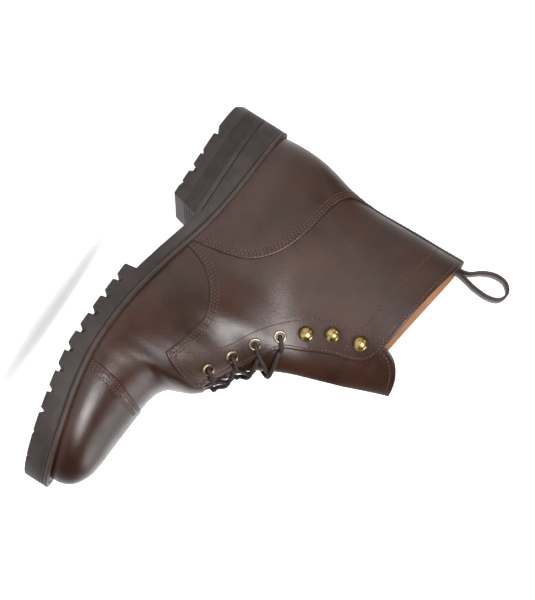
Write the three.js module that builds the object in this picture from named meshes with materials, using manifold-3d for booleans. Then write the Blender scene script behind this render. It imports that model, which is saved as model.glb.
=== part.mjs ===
// A laced work boot for the left foot: a leather upper with toe cap and heel counter, tongue,
// pull loop, eyelets, ball hooks and lace, on a lugged rubber sole.
// Millimetres. X runs from the heel's back to the toe, Y to the boot's outer side, Z up.
import * as THREE from "three";
import { mergeVertices } from "three/addons/utils/BufferGeometryUtils.js";
import Module from "manifold-3d";

const wasm = await Module();
wasm.setup();

// Driving sizes
const length = 308; // the outsole, heel back to toe tip
const ballWidth = 107; // the outsole across the ball
const bootHeight = 199; // floor to the collar at the back
const heelSeat = 41; // floor to the upper's lower edge at the heel
const heelBlock = 23; // height of the heel alone
const toeSpring = 19; // how far the sole's toe is off the floor
const ballMargin = 5.5; // how far the sole's edge stands out from the upper at the ball

// Walls and layers
const vampWall = 2.2;
const quarterStep = 1.3; // how far the quarters stand out from the vamp
const liningStep = 1.1; // how much thinner the shaft is inside than the vamp
const overlay = 1.3; // thickness of toe cap and counter
const tongueWall = 2;
const insoleThickness = 3;
const midsoleThickness = 3.2;
const waistThickness = 12; // all sole layers together, between heel and forepart
const gap = 0.3; // between pieces that meet
const insoleClearance = 1.2; // between the insole's edge and the wall, level with the featherline
const smallest = 0.28; // detail finer than this is dropped from a finished solid

// Tread
const lugStart = 0.484 * length; // the forepart's rear edge
const lugFirst = 0.526 * length; // the first notch
const channelRun = { from: 0.53 * length, to: 0.88 * length };
const notchTaper = 0.59; // a notch's root over its foot
const lugPitch = 15.2;
const lugCount = 10;
const lugNotch = { wide: 5, deep: 5.5, run: 22 };
const channel = { inset: 24, wide: 4, deep: 5.5 };
const heelNotch = { wide: 6, deep: 4.5, run: 18 };
const heelChannel = { inset: 20, wide: 3.5, deep: 4 };
const heelBreast = { along: 0.286, lean: 0.018 }; // the heel's front face, shares of length
const heelGroove = { count: 3, pitch: 4, high: 1.2, deep: 0.6 };

// Fittings
const eyelet = { hole: 2.75, barrel: 3.1, flange: 4.7, rise: 1.3, depth: 1.2 };
const eyeletClearance = 0.35;
const hook = { base: 3.4, stem: 1.5, ball: 5.25, rise: 6.3 };
const laceRadius = 1.25;
const strap = { wide: 13, thick: 1.8, loop: 37 }; // loop: its height over the collar

// Lines in the side view. A row is a point: along is a share of length, up of bootHeight.
// The front line runs from the toe tip over vamp and instep to the top of the tongue.
const frontRows = [
  { along: 0.973, up: 0.171 },
  { along: 0.973, up: 0.191 },
  { along: 0.972, up: 0.214 },
  { along: 0.966, up: 0.239 },
  { along: 0.956, up: 0.26 },
  { along: 0.941, up: 0.276 },
  { along: 0.919, up: 0.29 },
  { along: 0.89, up: 0.297 },
  { along: 0.851, up: 0.299 },
  { along: 0.812, up: 0.302 },
  { along: 0.76, up: 0.307 },
  { along: 0.714, up: 0.313 },
  { along: 0.679, up: 0.327 },
  { along: 0.659, up: 0.352 },
  { along: 0.649, up: 0.389 },
  { along: 0.638, up: 0.43 },
  { along: 0.619, up: 0.465 },
  { along: 0.593, up: 0.492 },
  { along: 0.56, up: 0.522 },
  { along: 0.529, up: 0.56 },
  { along: 0.506, up: 0.611 },
  { along: 0.485, up: 0.678 },
  { along: 0.464, up: 0.769 },
  { along: 0.443, up: 0.864 },
  { along: 0.425, up: 0.935 },
  { along: 0.407, up: 1.01 },
  { along: 0.388, up: 1.116 },
];
const backRows = [
  { along: 0.019, up: 0.206 },
  { along: 0.016, up: 0.251 },
  { along: 0.015, up: 0.312 },
  { along: 0.018, up: 0.372 },
  { along: 0.026, up: 0.432 },
  { along: 0.037, up: 0.492 },
  { along: 0.045, up: 0.553 },
  { along: 0.049, up: 0.618 },
  { along: 0.048, up: 0.704 },
  { along: 0.046, up: 0.804 },
  { along: 0.045, up: 0.91 },
  { along: 0.043, up: 1.005 },
  { along: 0.041, up: 1.116 },
];
// The opening's edge: the collar from the back, its rounded front corner, then the facing
// down to the top corner of the tab that carries the lowest eyelet.
const openingRows = [
  { along: -0.039, up: 1.018 },
  { along: 0.036, up: 1.0 },
  { along: 0.088, up: 0.985 },
  { along: 0.162, up: 0.962 },
  { along: 0.227, up: 0.945 },
  { along: 0.292, up: 0.93 },
  { along: 0.321, up: 0.922 },
  { along: 0.344, up: 0.915 },
  { along: 0.364, up: 0.902 },
  { along: 0.378, up: 0.879 },
  { along: 0.39, up: 0.834 },
  { along: 0.399, up: 0.779 },
  { along: 0.412, up: 0.729 },
  { along: 0.429, up: 0.676 },
  { along: 0.446, up: 0.623 },
  { along: 0.49, up: 0.566 },
  { along: 0.541, up: 0.515 },
  { along: 0.571, up: 0.489 },
  { along: 0.597, up: 0.467 },
  { along: 0.614, up: 0.454 },
];
// The quarter's lower edge over the vamp, from the sole forward, and the tab's front edge.
const quarterRows = [
  { along: 0.364, up: 0.05 },
  { along: 0.37, up: 0.141 },
  { along: 0.378, up: 0.186 },
  { along: 0.39, up: 0.226 },
  { along: 0.407, up: 0.261 },
  { along: 0.429, up: 0.291 },
  { along: 0.458, up: 0.318 },
  { along: 0.487, up: 0.33 },
  { along: 0.519, up: 0.327 },
  { along: 0.549, up: 0.317 },
  { along: 0.581, up: 0.302 },
  { along: 0.607, up: 0.289 },
];
const tabRows = [
  { along: 0.607, up: 0.289 },
  { along: 0.62, up: 0.319 },
  { along: 0.628, up: 0.359 },
  { along: 0.631, up: 0.402 },
  { along: 0.626, up: 0.432 },
  { along: 0.614, up: 0.454 },
];
// The counter's edge, from the sole up and back, and then up the back strip to the collar.
const counterRows = [
  { along: 0.36, up: 0.05 },
  { along: 0.354, up: 0.151 },
  { along: 0.346, up: 0.226 },
  { along: 0.338, up: 0.286 },
  { along: 0.325, up: 0.342 },
  { along: 0.305, up: 0.384 },
  { along: 0.276, up: 0.422 },
  { along: 0.24, up: 0.452 },
  { along: 0.192, up: 0.475 },
  { along: 0.14, up: 0.492 },
  { along: 0.107, up: 0.503 },
  { along: 0.084, up: 0.518 },
  { along: 0.067, up: 0.545 },
  { along: 0.058, up: 0.593 },
  { along: 0.056, up: 0.653 },
  { along: 0.055, up: 0.754 },
  { along: 0.053, up: 0.879 },
  { along: 0.051, up: 1.03 },
];
const capRows = [
  { along: 0.713, up: 0.05 },
  { along: 0.714, up: 0.141 },
  { along: 0.718, up: 0.186 },
  { along: 0.724, up: 0.231 },
  { along: 0.731, up: 0.271 },
  { along: 0.736, up: 0.34 },
];
// The tongue's rear edge under the facings, and its rounded top.
const tongueRows = [
  { along: 0.672, up: 0.281 },
  { along: 0.643, up: 0.322 },
  { along: 0.604, up: 0.372 },
  { along: 0.552, up: 0.432 },
  { along: 0.494, up: 0.5 },
  { along: 0.435, up: 0.57 },
  { along: 0.386, up: 0.648 },
  { along: 0.357, up: 0.724 },
  { along: 0.338, up: 0.814 },
  { along: 0.328, up: 0.894 },
  { along: 0.331, up: 0.945 },
  { along: 0.344, up: 0.98 },
  { along: 0.364, up: 1.007 },
  { along: 0.386, up: 1.022 },
  { along: 0.435, up: 1.03 },
];
const eyeletRows = [
  { along: 0.581, up: 0.437 },
  { along: 0.526, up: 0.482 },
  { along: 0.474, up: 0.528 },
  { along: 0.429, up: 0.588 },
];
const hookRows = [
  { along: 0.39, up: 0.663 },
  { along: 0.36, up: 0.744 },
  { along: 0.344, up: 0.844 },
];

// The featherline, where upper meets sole: up is a share of heelSeat.
const featherRows = [
  { along: 0.01, up: 1.0 },
  { along: 0.094, up: 0.983 },
  { along: 0.198, up: 0.927 },
  { along: 0.26, up: 0.866 },
  { along: 0.308, up: 0.8 },
  { along: 0.367, up: 0.676 },
  { along: 0.416, up: 0.585 },
  { along: 0.484, up: 0.495 },
  { along: 0.549, up: 0.446 },
  { along: 0.614, up: 0.422 },
  { along: 0.675, up: 0.427 },
  { along: 0.737, up: 0.476 },
  { along: 0.799, up: 0.561 },
  { along: 0.86, up: 0.671 },
  { along: 0.922, up: 0.78 },
  { along: 1.0, up: 0.92 },
];
// Upright sections of waist and forefoot. Widths are shares of the last's half width at the
// ball; bulge swells the side, full and round are the powers that bend it over to the ridge.
const sectionRows = [
  { along: 0.0, centre: 0, medial: 0.66, lateral: 0.67, bulge: 0.08, full: 2, round: 1.5 },
  { along: 0.227, centre: 0.01, medial: 0.656, lateral: 0.667, bulge: 0.08, full: 2, round: 1.5 },
  { along: 0.308, centre: 0.021, medial: 0.625, lateral: 0.667, bulge: 0.1, full: 2, round: 1.5 },
  { along: 0.367, centre: 0.031, medial: 0.594, lateral: 0.688, bulge: 0.13, full: 1.9, round: 1.5 },
  { along: 0.422, centre: 0.021, medial: 0.615, lateral: 0.74, bulge: 0.13, full: 1.7, round: 1.5 },
  { along: 0.487, centre: 0.01, medial: 0.719, lateral: 0.833, bulge: 0.08, full: 1.55, round: 1.6 },
  { along: 0.552, centre: 0.01, medial: 0.865, lateral: 0.927, bulge: 0.04, full: 1.5, round: 1.85 },
  { along: 0.617, centre: 0, medial: 0.958, lateral: 0.99, bulge: 0.03, full: 1.5, round: 1.95 },
  { along: 0.675, centre: -0.01, medial: 0.99, lateral: 1.0, bulge: 0.03, full: 1.7, round: 2 },
  { along: 0.737, centre: -0.031, medial: 0.99, lateral: 0.99, bulge: 0.03, full: 1.95, round: 2 },
  { along: 0.812, centre: -0.067, medial: 0.979, lateral: 0.979, bulge: 0.03, full: 2.1, round: 2 },
  { along: 0.893, centre: -0.125, medial: 0.969, lateral: 0.969, bulge: 0.03, full: 2.2, round: 2 },
  { along: 1.0, centre: -0.167, medial: 0.958, lateral: 0.958, bulge: 0.03, full: 2.3, round: 2 },
];
// Level sections of heel and shaft: half width, and where along the boot it is widest.
const levelRows = [
  { up: 0.1, half: 0.63, middle: 0.136 },
  { up: 0.206, half: 0.646, middle: 0.136 },
  { up: 0.302, half: 0.677, middle: 0.143 },
  { up: 0.402, half: 0.673, middle: 0.149 },
  { up: 0.503, half: 0.662, middle: 0.156 },
  { up: 0.603, half: 0.673, middle: 0.169 },
  { up: 0.704, half: 0.704, middle: 0.182 },
  { up: 0.804, half: 0.746, middle: 0.195 },
  { up: 0.905, half: 0.783, middle: 0.208 },
  { up: 1.005, half: 0.812, middle: 0.214 },
  { up: 1.116, half: 0.833, middle: 0.214 },
];
// How far the sole stands out from the featherline, as a share of ballMargin.
const marginRows = [
  { along: 0.0, share: 1.1 },
  { along: 0.1, share: 0.84 },
  { along: 0.3, share: 0.82 },
  { along: 0.38, share: 0.72 },
  { along: 0.5, share: 0.86 },
  { along: 0.65, share: 1 },
  { along: 0.85, share: 1.18 },
  { along: 1.0, share: 1.53 },
];
// Ribs of the last's mesh, straight in the side view: each joins a share of the low line
// (featherline from the toe, then the heel's back) to a share of the front line.
const ribRows = [
  { low: 0.0016, high: 0.01 },
  { low: 0.0052, high: 0.024 },
  { low: 0.014, high: 0.045 },
  { low: 0.0285, high: 0.076 },
  { low: 0.0474, high: 0.112 },
  { low: 0.07, high: 0.152 },
  { low: 0.0975, high: 0.203 },
  { low: 0.125, high: 0.256 },
  { low: 0.15, high: 0.303 },
  { low: 0.175, high: 0.347 },
  { low: 0.2, high: 0.383 },
  { low: 0.229, high: 0.412 },
  { low: 0.262, high: 0.438 },
  { low: 0.3, high: 0.464 },
  { low: 0.337, high: 0.488 },
  { low: 0.379, high: 0.512 },
  { low: 0.421, high: 0.535 },
  { low: 0.463, high: 0.556 },
  { low: 0.505, high: 0.575 },
  { low: 0.542, high: 0.592 },
  { low: 0.576, high: 0.608 },
  { low: 0.598, high: 0.62 },
  { low: 0.612, high: 0.63 },
  { low: 0.63, high: 0.641 },
  { low: 0.655, high: 0.656 },
  { low: 0.68, high: 0.674 },
  { low: 0.71, high: 0.695 },
  { low: 0.737, high: 0.716 },
  { low: 0.763, high: 0.738 },
  { low: 0.792, high: 0.762 },
  { low: 0.826, high: 0.787 },
  { low: 0.86, high: 0.812 },
  { low: 0.893, high: 0.837 },
  { low: 0.925, high: 0.862 },
  { low: 0.95, high: 0.888 },
  { low: 0.97, high: 0.918 },
  { low: 0.985, high: 0.957 },
  { low: 1, high: 1 },
];
const ribPoints = 8;
const skirt = 12; // how far the last runs on below the featherline, to be cut off

// Where the closing of toe and instep begins, and how one family of sections fades to the other
const ease = {
  start: 0.5 * length,
  end: 0.86 * length,
  fade: 0.12 * length,
  reach: 0.09 * length,
  steps: 3,
};
const toeStart = 0.665 * length;
const toePower = 2.3;
const instepFoot = 0.66 * length;
const instepSlope = 1.3;
const fade = { start: 0.195 * length, floor: 0.15 * bootHeight, lean: 0.5, run: 0.195 * length };
const levelPowers = { back: 2.1, front: 1.9, round: 1.45 };
const lastHalf = ballWidth / 2 - ballMargin;

// A monotone curve through one column of a table, as a function of the key column.
function column(rows, key, name) {
  const x = rows.map((row) => row[key]);
  const y = rows.map((row) => row[name]);
  const rise = x.slice(1).map((next, i) => (y[i + 1] - y[i]) / (next - x[i]));
  const slope = x.map((_, i) => {
    if (i === 0 || i === x.length - 1) return rise[Math.min(i, rise.length - 1)];
    const [a, b] = [rise[i - 1], rise[i]];
    return a * b <= 0 ? 0 : (2 * a * b) / (a + b);
  });
  return (at) => {
    const value = THREE.MathUtils.clamp(at, x[0], x.at(-1));
    const i = Math.min(Math.max(x.findIndex((next) => next > value), 1), x.length - 1) - 1;
    const j = value >= x.at(-1) ? x.length - 2 : i;
    const run = x[j + 1] - x[j];
    const t = (value - x[j]) / run;
    const back = 1 - t;
    return (
      y[j] * (1 + 2 * t) * back * back +
      slope[j] * run * t * back * back +
      y[j + 1] * t * t * (3 - 2 * t) -
      slope[j + 1] * run * t * t * back
    );
  };
}

// A side-view line through a table's rows, in mm. Its points are vectors with y = 0.
function smoothLine(rows, stepsPerRow) {
  const points = rows.map((row) => point(row.along, row.up));
  const curve = new THREE.CatmullRomCurve3(points, false, "centripetal");
  return curve.getPoints(stepsPerRow * (rows.length - 1));
}

function point(along, up) {
  return new THREE.Vector3(along * length, 0, up * bootHeight);
}

// What a line has on one axis where it has the given value on the other.
function readLine(line, from, value, to) {
  for (let i = 1; i < line.length; i++) {
    const [a, b] = [line[i - 1], line[i]];
    if (a[from] === b[from] || (a[from] - value) * (b[from] - value) > 0) continue;
    return THREE.MathUtils.lerp(a[to], b[to], (value - a[from]) / (b[from] - a[from]));
  }
  const ends = [line[0], line.at(-1)];
  ends.sort((a, b) => Math.abs(a[from] - value) - Math.abs(b[from] - value));
  return ends[0][to];
}

// The point at a share of a line's length.
function alongLine(line, share) {
  const runs = line.slice(1).map((p, i) => p.distanceTo(line[i]));
  let left = share * runs.reduce((sum, run) => sum + run, 0);
  let i = 0;
  while (i < runs.length - 1 && left > runs[i]) {
    left -= runs[i];
    i += 1;
  }
  return line[i].clone().lerp(line[i + 1], Math.min(left / runs[i], 1));
}

const section = Object.fromEntries(
  ["centre", "medial", "lateral", "bulge", "full", "round"].map((name) => [
    name,
    column(sectionRows, "along", name),
  ]),
);
const levelHalf = column(levelRows, "up", "half");
const levelMiddle = column(levelRows, "up", "middle");
const featherShare = column(featherRows, "along", "up");
const marginShare = column(marginRows, "along", "share");

const frontLine = smoothLine(frontRows, 8);
const backLine = smoothLine(backRows, 6);
const instepLine = frontLine.filter((p) => p.x < instepFoot);
const toeTip = frontLine[0].x;
const heelBack = backLine[0].x;

function feather(x) {
  return featherShare(x / length) * heelSeat;
}

function margin(x) {
  return marginShare(x / length) * ballMargin;
}

// Height of the front line over x, and its place along the boot at height z.
function ridgeHeight(x) {
  const top = frontLine.at(-1);
  if (x < top.x) return top.z + (top.x - x) * instepSlope;
  return readLine(frontLine, "x", x, "z");
}

// The ridge's height evened out over a stretch where the instep rises from the vamp, so that
// the sides below flow on straight.
function easedRidge(x) {
  let sum = 0;
  for (let i = -ease.steps; i <= ease.steps; i++) {
    sum += ridgeHeight(x + (ease.reach * i) / ease.steps);
  }
  const rise = THREE.MathUtils.smoothstep(x, ease.start, ease.start + ease.fade);
  const fall = THREE.MathUtils.smoothstep(x, ease.end - ease.fade, ease.end);
  return THREE.MathUtils.lerp(ridgeHeight(x), sum / (2 * ease.steps + 1), rise * (1 - fall));
}

function instepAt(z) {
  const foot = instepLine[0];
  if (z < foot.z) return foot.x + (foot.z - z) * instepSlope;
  return readLine(instepLine, "z", z, "x");
}

function closing(share, full, round) {
  return Math.max(1 - Math.min(Math.max(share, 0), 1) ** full, 0) ** (1 / round);
}

function levelReach(x, z) {
  const half = levelHalf(z / bootHeight) * lastHalf;
  const middle = levelMiddle(z / bootHeight) * length;
  if (x < middle) {
    const back = readLine(backLine, "z", z, "x");
    return half * closing((middle - x) / (middle - back), levelPowers.back, 2);
  }
  const share = (x - middle) / (instepAt(z) - middle);
  return half * closing(share, levelPowers.front, levelPowers.round);
}

function uprightReach(x, z, side) {
  const at = x / length;
  const toe = closing((x - toeStart) / (toeTip - toeStart), toePower, 2);
  const low = feather(x);
  const plain = THREE.MathUtils.clamp((z - low) / (ridgeHeight(x) - low), 0, 1);
  const eased = Math.max(z - low, 0) / (easedRidge(x) - low);
  const share = THREE.MathUtils.clamp(eased + (plain - eased) * plain ** 2, 0, 1);
  const swell = 1 + section.bulge(at) * 4 * share * (1 - share);
  const half = section[side](at) * lastHalf * toe;
  return half * swell * closing(share, section.full(at), section.round(at));
}

// The last's skin over a point of the side view.
function skin(x, z, side) {
  const start = fade.start + fade.lean * (z - fade.floor);
  const share = THREE.MathUtils.smoothstep(x, start, start + fade.run);
  const reach = THREE.MathUtils.lerp(levelReach(x, z), uprightReach(x, z, side), share);
  const sign = side === "medial" ? -1 : 1;
  return new THREE.Vector3(x, section.centre(x / length) * lastHalf + sign * reach, z);
}

// The skin's outward direction at a point of the side view.
function outward(x, z, side) {
  const step = 0.5;
  const ahead = skin(x + step, z, side).sub(skin(x - step, z, side));
  const above = skin(x, z + step, side).sub(skin(x, z - step, side));
  const normal = ahead.cross(above).normalize();
  return side === "medial" ? normal : normal.negate();
}

// The last as a mesh of ribs: positions, normals of the skin, and triangles that close it.
function lastMesh() {
  const featherLine = [];
  for (let x = toeTip; x > heelBack; x -= 4) featherLine.push(new THREE.Vector3(x, 0, feather(x)));
  const seat = feather(heelBack);
  const lowLine = [...featherLine, ...backLine.filter((p) => p.z > seat)];
  const heelTop = Math.max(seat, backLine[0].z);
  const seam = (p) => new THREE.Vector3(p.x, section.centre(p.x / length) * lastHalf, p.z);
  const positions = [];
  const add = (p) => positions.push(p) - 1;
  const rows = ribRows.map((rib) => {
    const low = alongLine(lowLine, rib.low);
    const high = alongLine(frontLine, rib.high);
    const onBack = low.z > heelTop && low.x < fade.start;
    const rounded = THREE.MathUtils.smoothstep(rib.low, 0.52, 0.63);
    const front = add(seam(high));
    const heel = onBack && add(seam(low));
    return Object.fromEntries(
      ["medial", "lateral"].map((side) => {
        const ids = [];
        if (onBack) ids.push(heel, heel);
        else ids.push(add(skin(low.x, low.z, side).setZ(low.z - skirt)), add(skin(low.x, low.z, side)));
        for (let i = 1; i < ribPoints; i++) {
          const even = i / ribPoints;
          const eased = THREE.MathUtils.lerp(
            1 - (1 - even) ** 1.8,
            (1 - Math.cos(Math.PI * even)) / 2,
            rounded,
          );
          const p = low.clone().lerp(high, eased);
          ids.push(add(skin(p.x, p.z, side)));
        }
        ids.push(front);
        return [side, ids];
      }),
    );
  });
  const skinFaces = [];
  const face = (list, a, b, c) => {
    if (a !== b && b !== c && a !== c) list.push(a, b, c);
  };
  const quad = (list, a, b, c, d) => {
    face(list, a, b, c);
    face(list, a, c, d);
  };
  const caps = [];
  rows.slice(1).forEach((next, j) => {
    const row = rows[j];
    for (let i = 0; i + 1 < row.medial.length; i++) {
      quad(skinFaces, row.medial[i], row.medial[i + 1], next.medial[i + 1], next.medial[i]);
      quad(skinFaces, row.lateral[i], next.lateral[i], next.lateral[i + 1], row.lateral[i + 1]);
    }
    quad(caps, row.medial[0], next.medial[0], next.lateral[0], row.lateral[0]);
  });
  [rows[0], rows.at(-1)].forEach(({ medial, lateral }, end) => {
    for (let i = 0; i + 1 < medial.length; i++) {
      if (end) quad(caps, medial[i], medial[i + 1], lateral[i + 1], lateral[i]);
      else quad(caps, medial[i], lateral[i], lateral[i + 1], medial[i + 1]);
    }
  });
  const geometry = new THREE.BufferGeometry().setFromPoints(positions);
  geometry.setIndex(skinFaces);
  geometry.computeVertexNormals();
  return { positions, normals: geometry.getAttribute("normal"), faces: [...skinFaces, ...caps] };
}

// A closed mesh as a solid that can be joined and cut.
function solidOf(geometry) {
  const plain = geometry.clone();
  plain.deleteAttribute("normal");
  plain.deleteAttribute("uv");
  const merged = mergeVertices(plain, 1e-4);
  return new wasm.Manifold(
    new wasm.Mesh({
      numProp: 3,
      vertProperties: merged.attributes.position.array,
      triVerts: new Uint32Array(merged.index.array),
    }),
  );
}

function geometryOf(solid) {
  const mesh = solid.simplify(smallest).getMesh();
  const geometry = new THREE.BufferGeometry();
  geometry.setAttribute("position", new THREE.BufferAttribute(mesh.vertProperties, 3));
  geometry.setIndex(new THREE.BufferAttribute(mesh.triVerts, 1));
  return geometry;
}

const last = lastMesh();

// The last grown by a number of mm, or by what a function gives for each of its points.
function form(growth) {
  const grow = typeof growth === "function" ? growth : () => growth;
  const normal = new THREE.Vector3();
  const points = last.positions.map((p, i) => {
    normal.fromBufferAttribute(last.normals, i);
    return p.clone().addScaledVector(normal, grow(p));
  });
  const geometry = new THREE.BufferGeometry().setFromPoints(points);
  geometry.setIndex(last.faces);
  return solidOf(geometry);
}

// The cavity's growth: the vamp's wall, and a thinner one behind and above it.
function cavityGrowth(p) {
  const behind = THREE.MathUtils.smoothstep(-p.x, -0.36 * length, -0.28 * length);
  const above = THREE.MathUtils.smoothstep(p.z, 0.5 * bootHeight, 0.62 * bootHeight);
  return -vampWall + liningStep * Math.max(behind, above);
}

// A flat outline drawn in the side view and carried right across the boot.
function across(points) {
  const shape = new THREE.Shape(points.map((p) => new THREE.Vector2(p.x, p.z)));
  const geometry = new THREE.ExtrudeGeometry(shape, { depth: 2 * ballWidth, bevelEnabled: false });
  return solidOf(geometry.rotateX(Math.PI / 2).translate(0, ballWidth, 0));
}

// The region between a low and a high function of x.
function between(low, high, from = -0.1 * length, to = 1.1 * length, steps = 36) {
  const at = (i) => from + ((to - from) * i) / steps;
  const rise = Array.from({ length: steps + 1 }, (_, i) => at(i));
  const bottom = rise.map((x) => new THREE.Vector3(x, 0, low(x)));
  const top = rise.map((x) => new THREE.Vector3(x, 0, high(x))).reverse();
  return across([...bottom, ...top]);
}

const openingLine = smoothLine(openingRows, 1);
const beyond = [point(0.63, 0.49), point(0.75, 0.7), point(0.75, 1.3), point(-0.1, 1.3)];
const opening = across([...openingLine, ...beyond]);
const belowFeather = between(
  () => -skirt,
  (x) => feather(x) + gap,
);

function quarterRegion() {
  const edge = [...smoothLine(quarterRows, 1), ...smoothLine(tabRows, 1).slice(1)];
  const inOpening = point(0.6, 0.5);
  return across([...edge, inOpening, point(0.6, 1.3), point(-0.1, 1.3), point(-0.1, 0)]);
}

// The loop of the sole's edge in plan, grown from the featherline.
function soleLoop(extra = 0, reach = margin, stations = 22) {
  const xs = Array.from({ length: stations + 1 }, (_, i) => {
    return heelBack + ((toeTip - heelBack) * (1 - Math.cos((Math.PI * i) / stations))) / 2;
  });
  const lateral = xs.map((x) => skin(x, feather(x), "lateral"));
  const medial = xs.map((x) => skin(x, feather(x), "medial"));
  const loop = [...lateral, ...medial.slice(1, -1).reverse()];
  return loop.map((p, i) => {
    const before = loop.at(i - 1);
    const after = loop[(i + 1) % loop.length];
    const out = new THREE.Vector2(before.y - after.y, after.x - before.x).normalize();
    const grow = reach(p.x) + extra;
    return new THREE.Vector2(p.x + out.x * grow, p.y + out.y * grow);
  });
}

// A column over the sole's loop, from one height to another.
function soleColumn(extra, low, high) {
  const shape = new THREE.Shape(soleLoop(extra));
  const geometry = new THREE.ExtrudeGeometry(shape, { depth: high - low, bevelEnabled: false });
  return solidOf(geometry.translate(0, 0, low));
}

// The tread's ground line: flat, then up to the toe.
function ground(x) {
  const share = Math.max((x / length - 0.7) / 0.3, 0);
  return toeSpring * share ** 1.3;
}

// A notch in the tread, narrower at its root, cut inward from the sole's edge at x.
function treadNotch({ wide, deep, run }, x, side) {
  const loop = soleLoop();
  const half = side === "lateral" ? 1 : -1;
  const edge = loop.filter((p) => p.y * half > 0).map((p) => new THREE.Vector3(p.x, p.y, 0));
  edge.sort((a, b) => a.x - b.x);
  const y = readLine(edge, "x", x, "y");
  const slope = (readLine(edge, "x", x + 3, "y") - readLine(edge, "x", x - 3, "y")) / 6;
  const foot = wide / 2;
  const root = foot * notchTaper;
  const outside = 2 * ballMargin;
  const shape = new THREE.Shape([
    new THREE.Vector2(-foot, -2 * deep),
    new THREE.Vector2(foot, -2 * deep),
    new THREE.Vector2(foot, 0),
    new THREE.Vector2(root, deep),
    new THREE.Vector2(-root, deep),
    new THREE.Vector2(-foot, 0),
  ]);
  const depth = run + outside;
  const geometry = new THREE.ExtrudeGeometry(shape, { depth, bevelEnabled: false });
  geometry.rotateX(Math.PI / 2);
  if (half > 0) geometry.translate(0, outside, 0);
  else geometry.translate(0, depth - outside, 0);
  geometry.rotateZ(Math.atan(slope));
  return solidOf(geometry.translate(x, y, ground(x)));
}

// A channel in the tread that follows the sole's edge at an inset.
function treadChannel({ inset, wide, deep }, from, to) {
  const ring = soleColumn(-inset, -deep, heelSeat).subtract(soleColumn(-inset - wide, -2 * deep, 2 * heelSeat));
  const region = between(
    () => -deep,
    (x) => ground(x) + deep,
    from,
    to,
    12,
  );
  return ring.intersect(region);
}

function outsole() {
  const step = (heelBreast.along + heelBreast.lean) * length + gap;
  const top = (x) => feather(x) - midsoleThickness - gap;
  const seat = between(() => heelBlock + gap, top, -0.1 * length, step + 1, 12);
  const waist = between((x) => feather(x) - waistThickness, top, step, 1.1 * length, 30);
  const base = seat.add(waist);
  const lugs = between(
    ground,
    (x) => feather(x) - waistThickness + 1,
    lugStart,
    1.02 * length,
    24,
  );
  const rear = across([
    new THREE.Vector3(lugStart - 2, 0, -1),
    new THREE.Vector3(lugStart + 4, 0, -1),
    new THREE.Vector3(lugStart, 0, feather(lugStart) - waistThickness + 1),
    new THREE.Vector3(lugStart - 2, 0, feather(lugStart) - waistThickness + 1),
  ]);
  let solid = soleColumn(0, -1, 2 * heelSeat).intersect(base.add(lugs.subtract(rear)));
  for (let i = 0; i < lugCount; i++) {
    const x = lugFirst + i * lugPitch;
    const fading = 1 - 0.55 * THREE.MathUtils.smoothstep(x, 0.73 * length, 0.95 * length);
    const cut = { wide: lugNotch.wide * fading, deep: lugNotch.deep * fading, run: lugNotch.run };
    solid = solid.subtract(treadNotch(cut, x, "medial")).subtract(treadNotch(cut, x, "lateral"));
  }
  const { from, to } = channelRun;
  solid = solid.subtract(treadChannel(channel, from, to));
  return solid.subtract(centreGrooves(from, to));
}

// Cross grooves between the lugs inside the channel.
function centreGrooves(from, to) {
  const inner = soleColumn(-channel.inset - 1, -channel.deep, heelSeat);
  let grooves = null;
  for (let x = from; x < to - lugPitch / 2; x += lugPitch) {
    const half = channel.wide / 2;
    const cut = between(
      () => -channel.deep,
      (at) => ground(at) + channel.deep,
      x + lugPitch / 2 - half,
      x + lugPitch / 2 + half,
      1,
    );
    grooves = grooves ? grooves.add(cut) : cut;
  }
  return grooves.intersect(inner);
}

function heel() {
  const breast = heelBreast.along * length;
  const lean = heelBreast.lean * length;
  const bevel = 0.2 * heelBlock;
  const block = across([
    new THREE.Vector3(-length, 0, heelBlock),
    new THREE.Vector3(-length, 0, bevel),
    new THREE.Vector3(-0.003 * length, 0, bevel),
    new THREE.Vector3(0.025 * length, 0, 0),
    new THREE.Vector3(breast, 0, 0),
    new THREE.Vector3(breast + lean, 0, heelBlock),
  ]);
  let solid = soleColumn(0, -1, 2 * heelSeat).intersect(block);
  const notches = [
    { along: 0.107, scale: 1 },
    { along: 0.169, scale: 0.55 },
    { along: 0.214, scale: 0.9 },
    { along: 0.258, scale: 0.55 },
  ];
  for (const { along, scale } of notches) {
    const cut = { wide: heelNotch.wide * scale, deep: heelNotch.deep * scale, run: heelNotch.run };
    solid = solid.subtract(treadNotch(cut, along * length, "medial"));
    solid = solid.subtract(treadNotch(cut, along * length, "lateral"));
  }
  solid = solid.subtract(treadChannel(heelChannel, -0.1 * length, 0.4 * length));
  for (let i = 0; i < heelGroove.count; i++) {
    const top = heelBlock - (i + 0.5) * heelGroove.pitch;
    const ring = soleColumn(5, top - heelGroove.high, top).subtract(
      soleColumn(-heelGroove.deep, top - 2 * heelGroove.high, top + heelGroove.high),
    );
    solid = solid.subtract(ring);
  }
  return solid;
}

function midsole() {
  const layer = between((x) => feather(x) - midsoleThickness, feather);
  return soleColumn(0, -1, 2 * heelSeat).intersect(layer);
}

// The insole lies inside the vamp's wall, clear of it where the wall leans in.
function insole() {
  const layer = between(
    (x) => feather(x) + gap,
    (x) => feather(x) + gap + insoleThickness,
  );
  const inset = vampWall + insoleClearance;
  const shape = new THREE.Shape(soleLoop(-inset, () => 0));
  const geometry = new THREE.ExtrudeGeometry(shape, { depth: 2 * heelSeat, bevelEnabled: false });
  return solidOf(geometry).intersect(layer);
}

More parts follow.
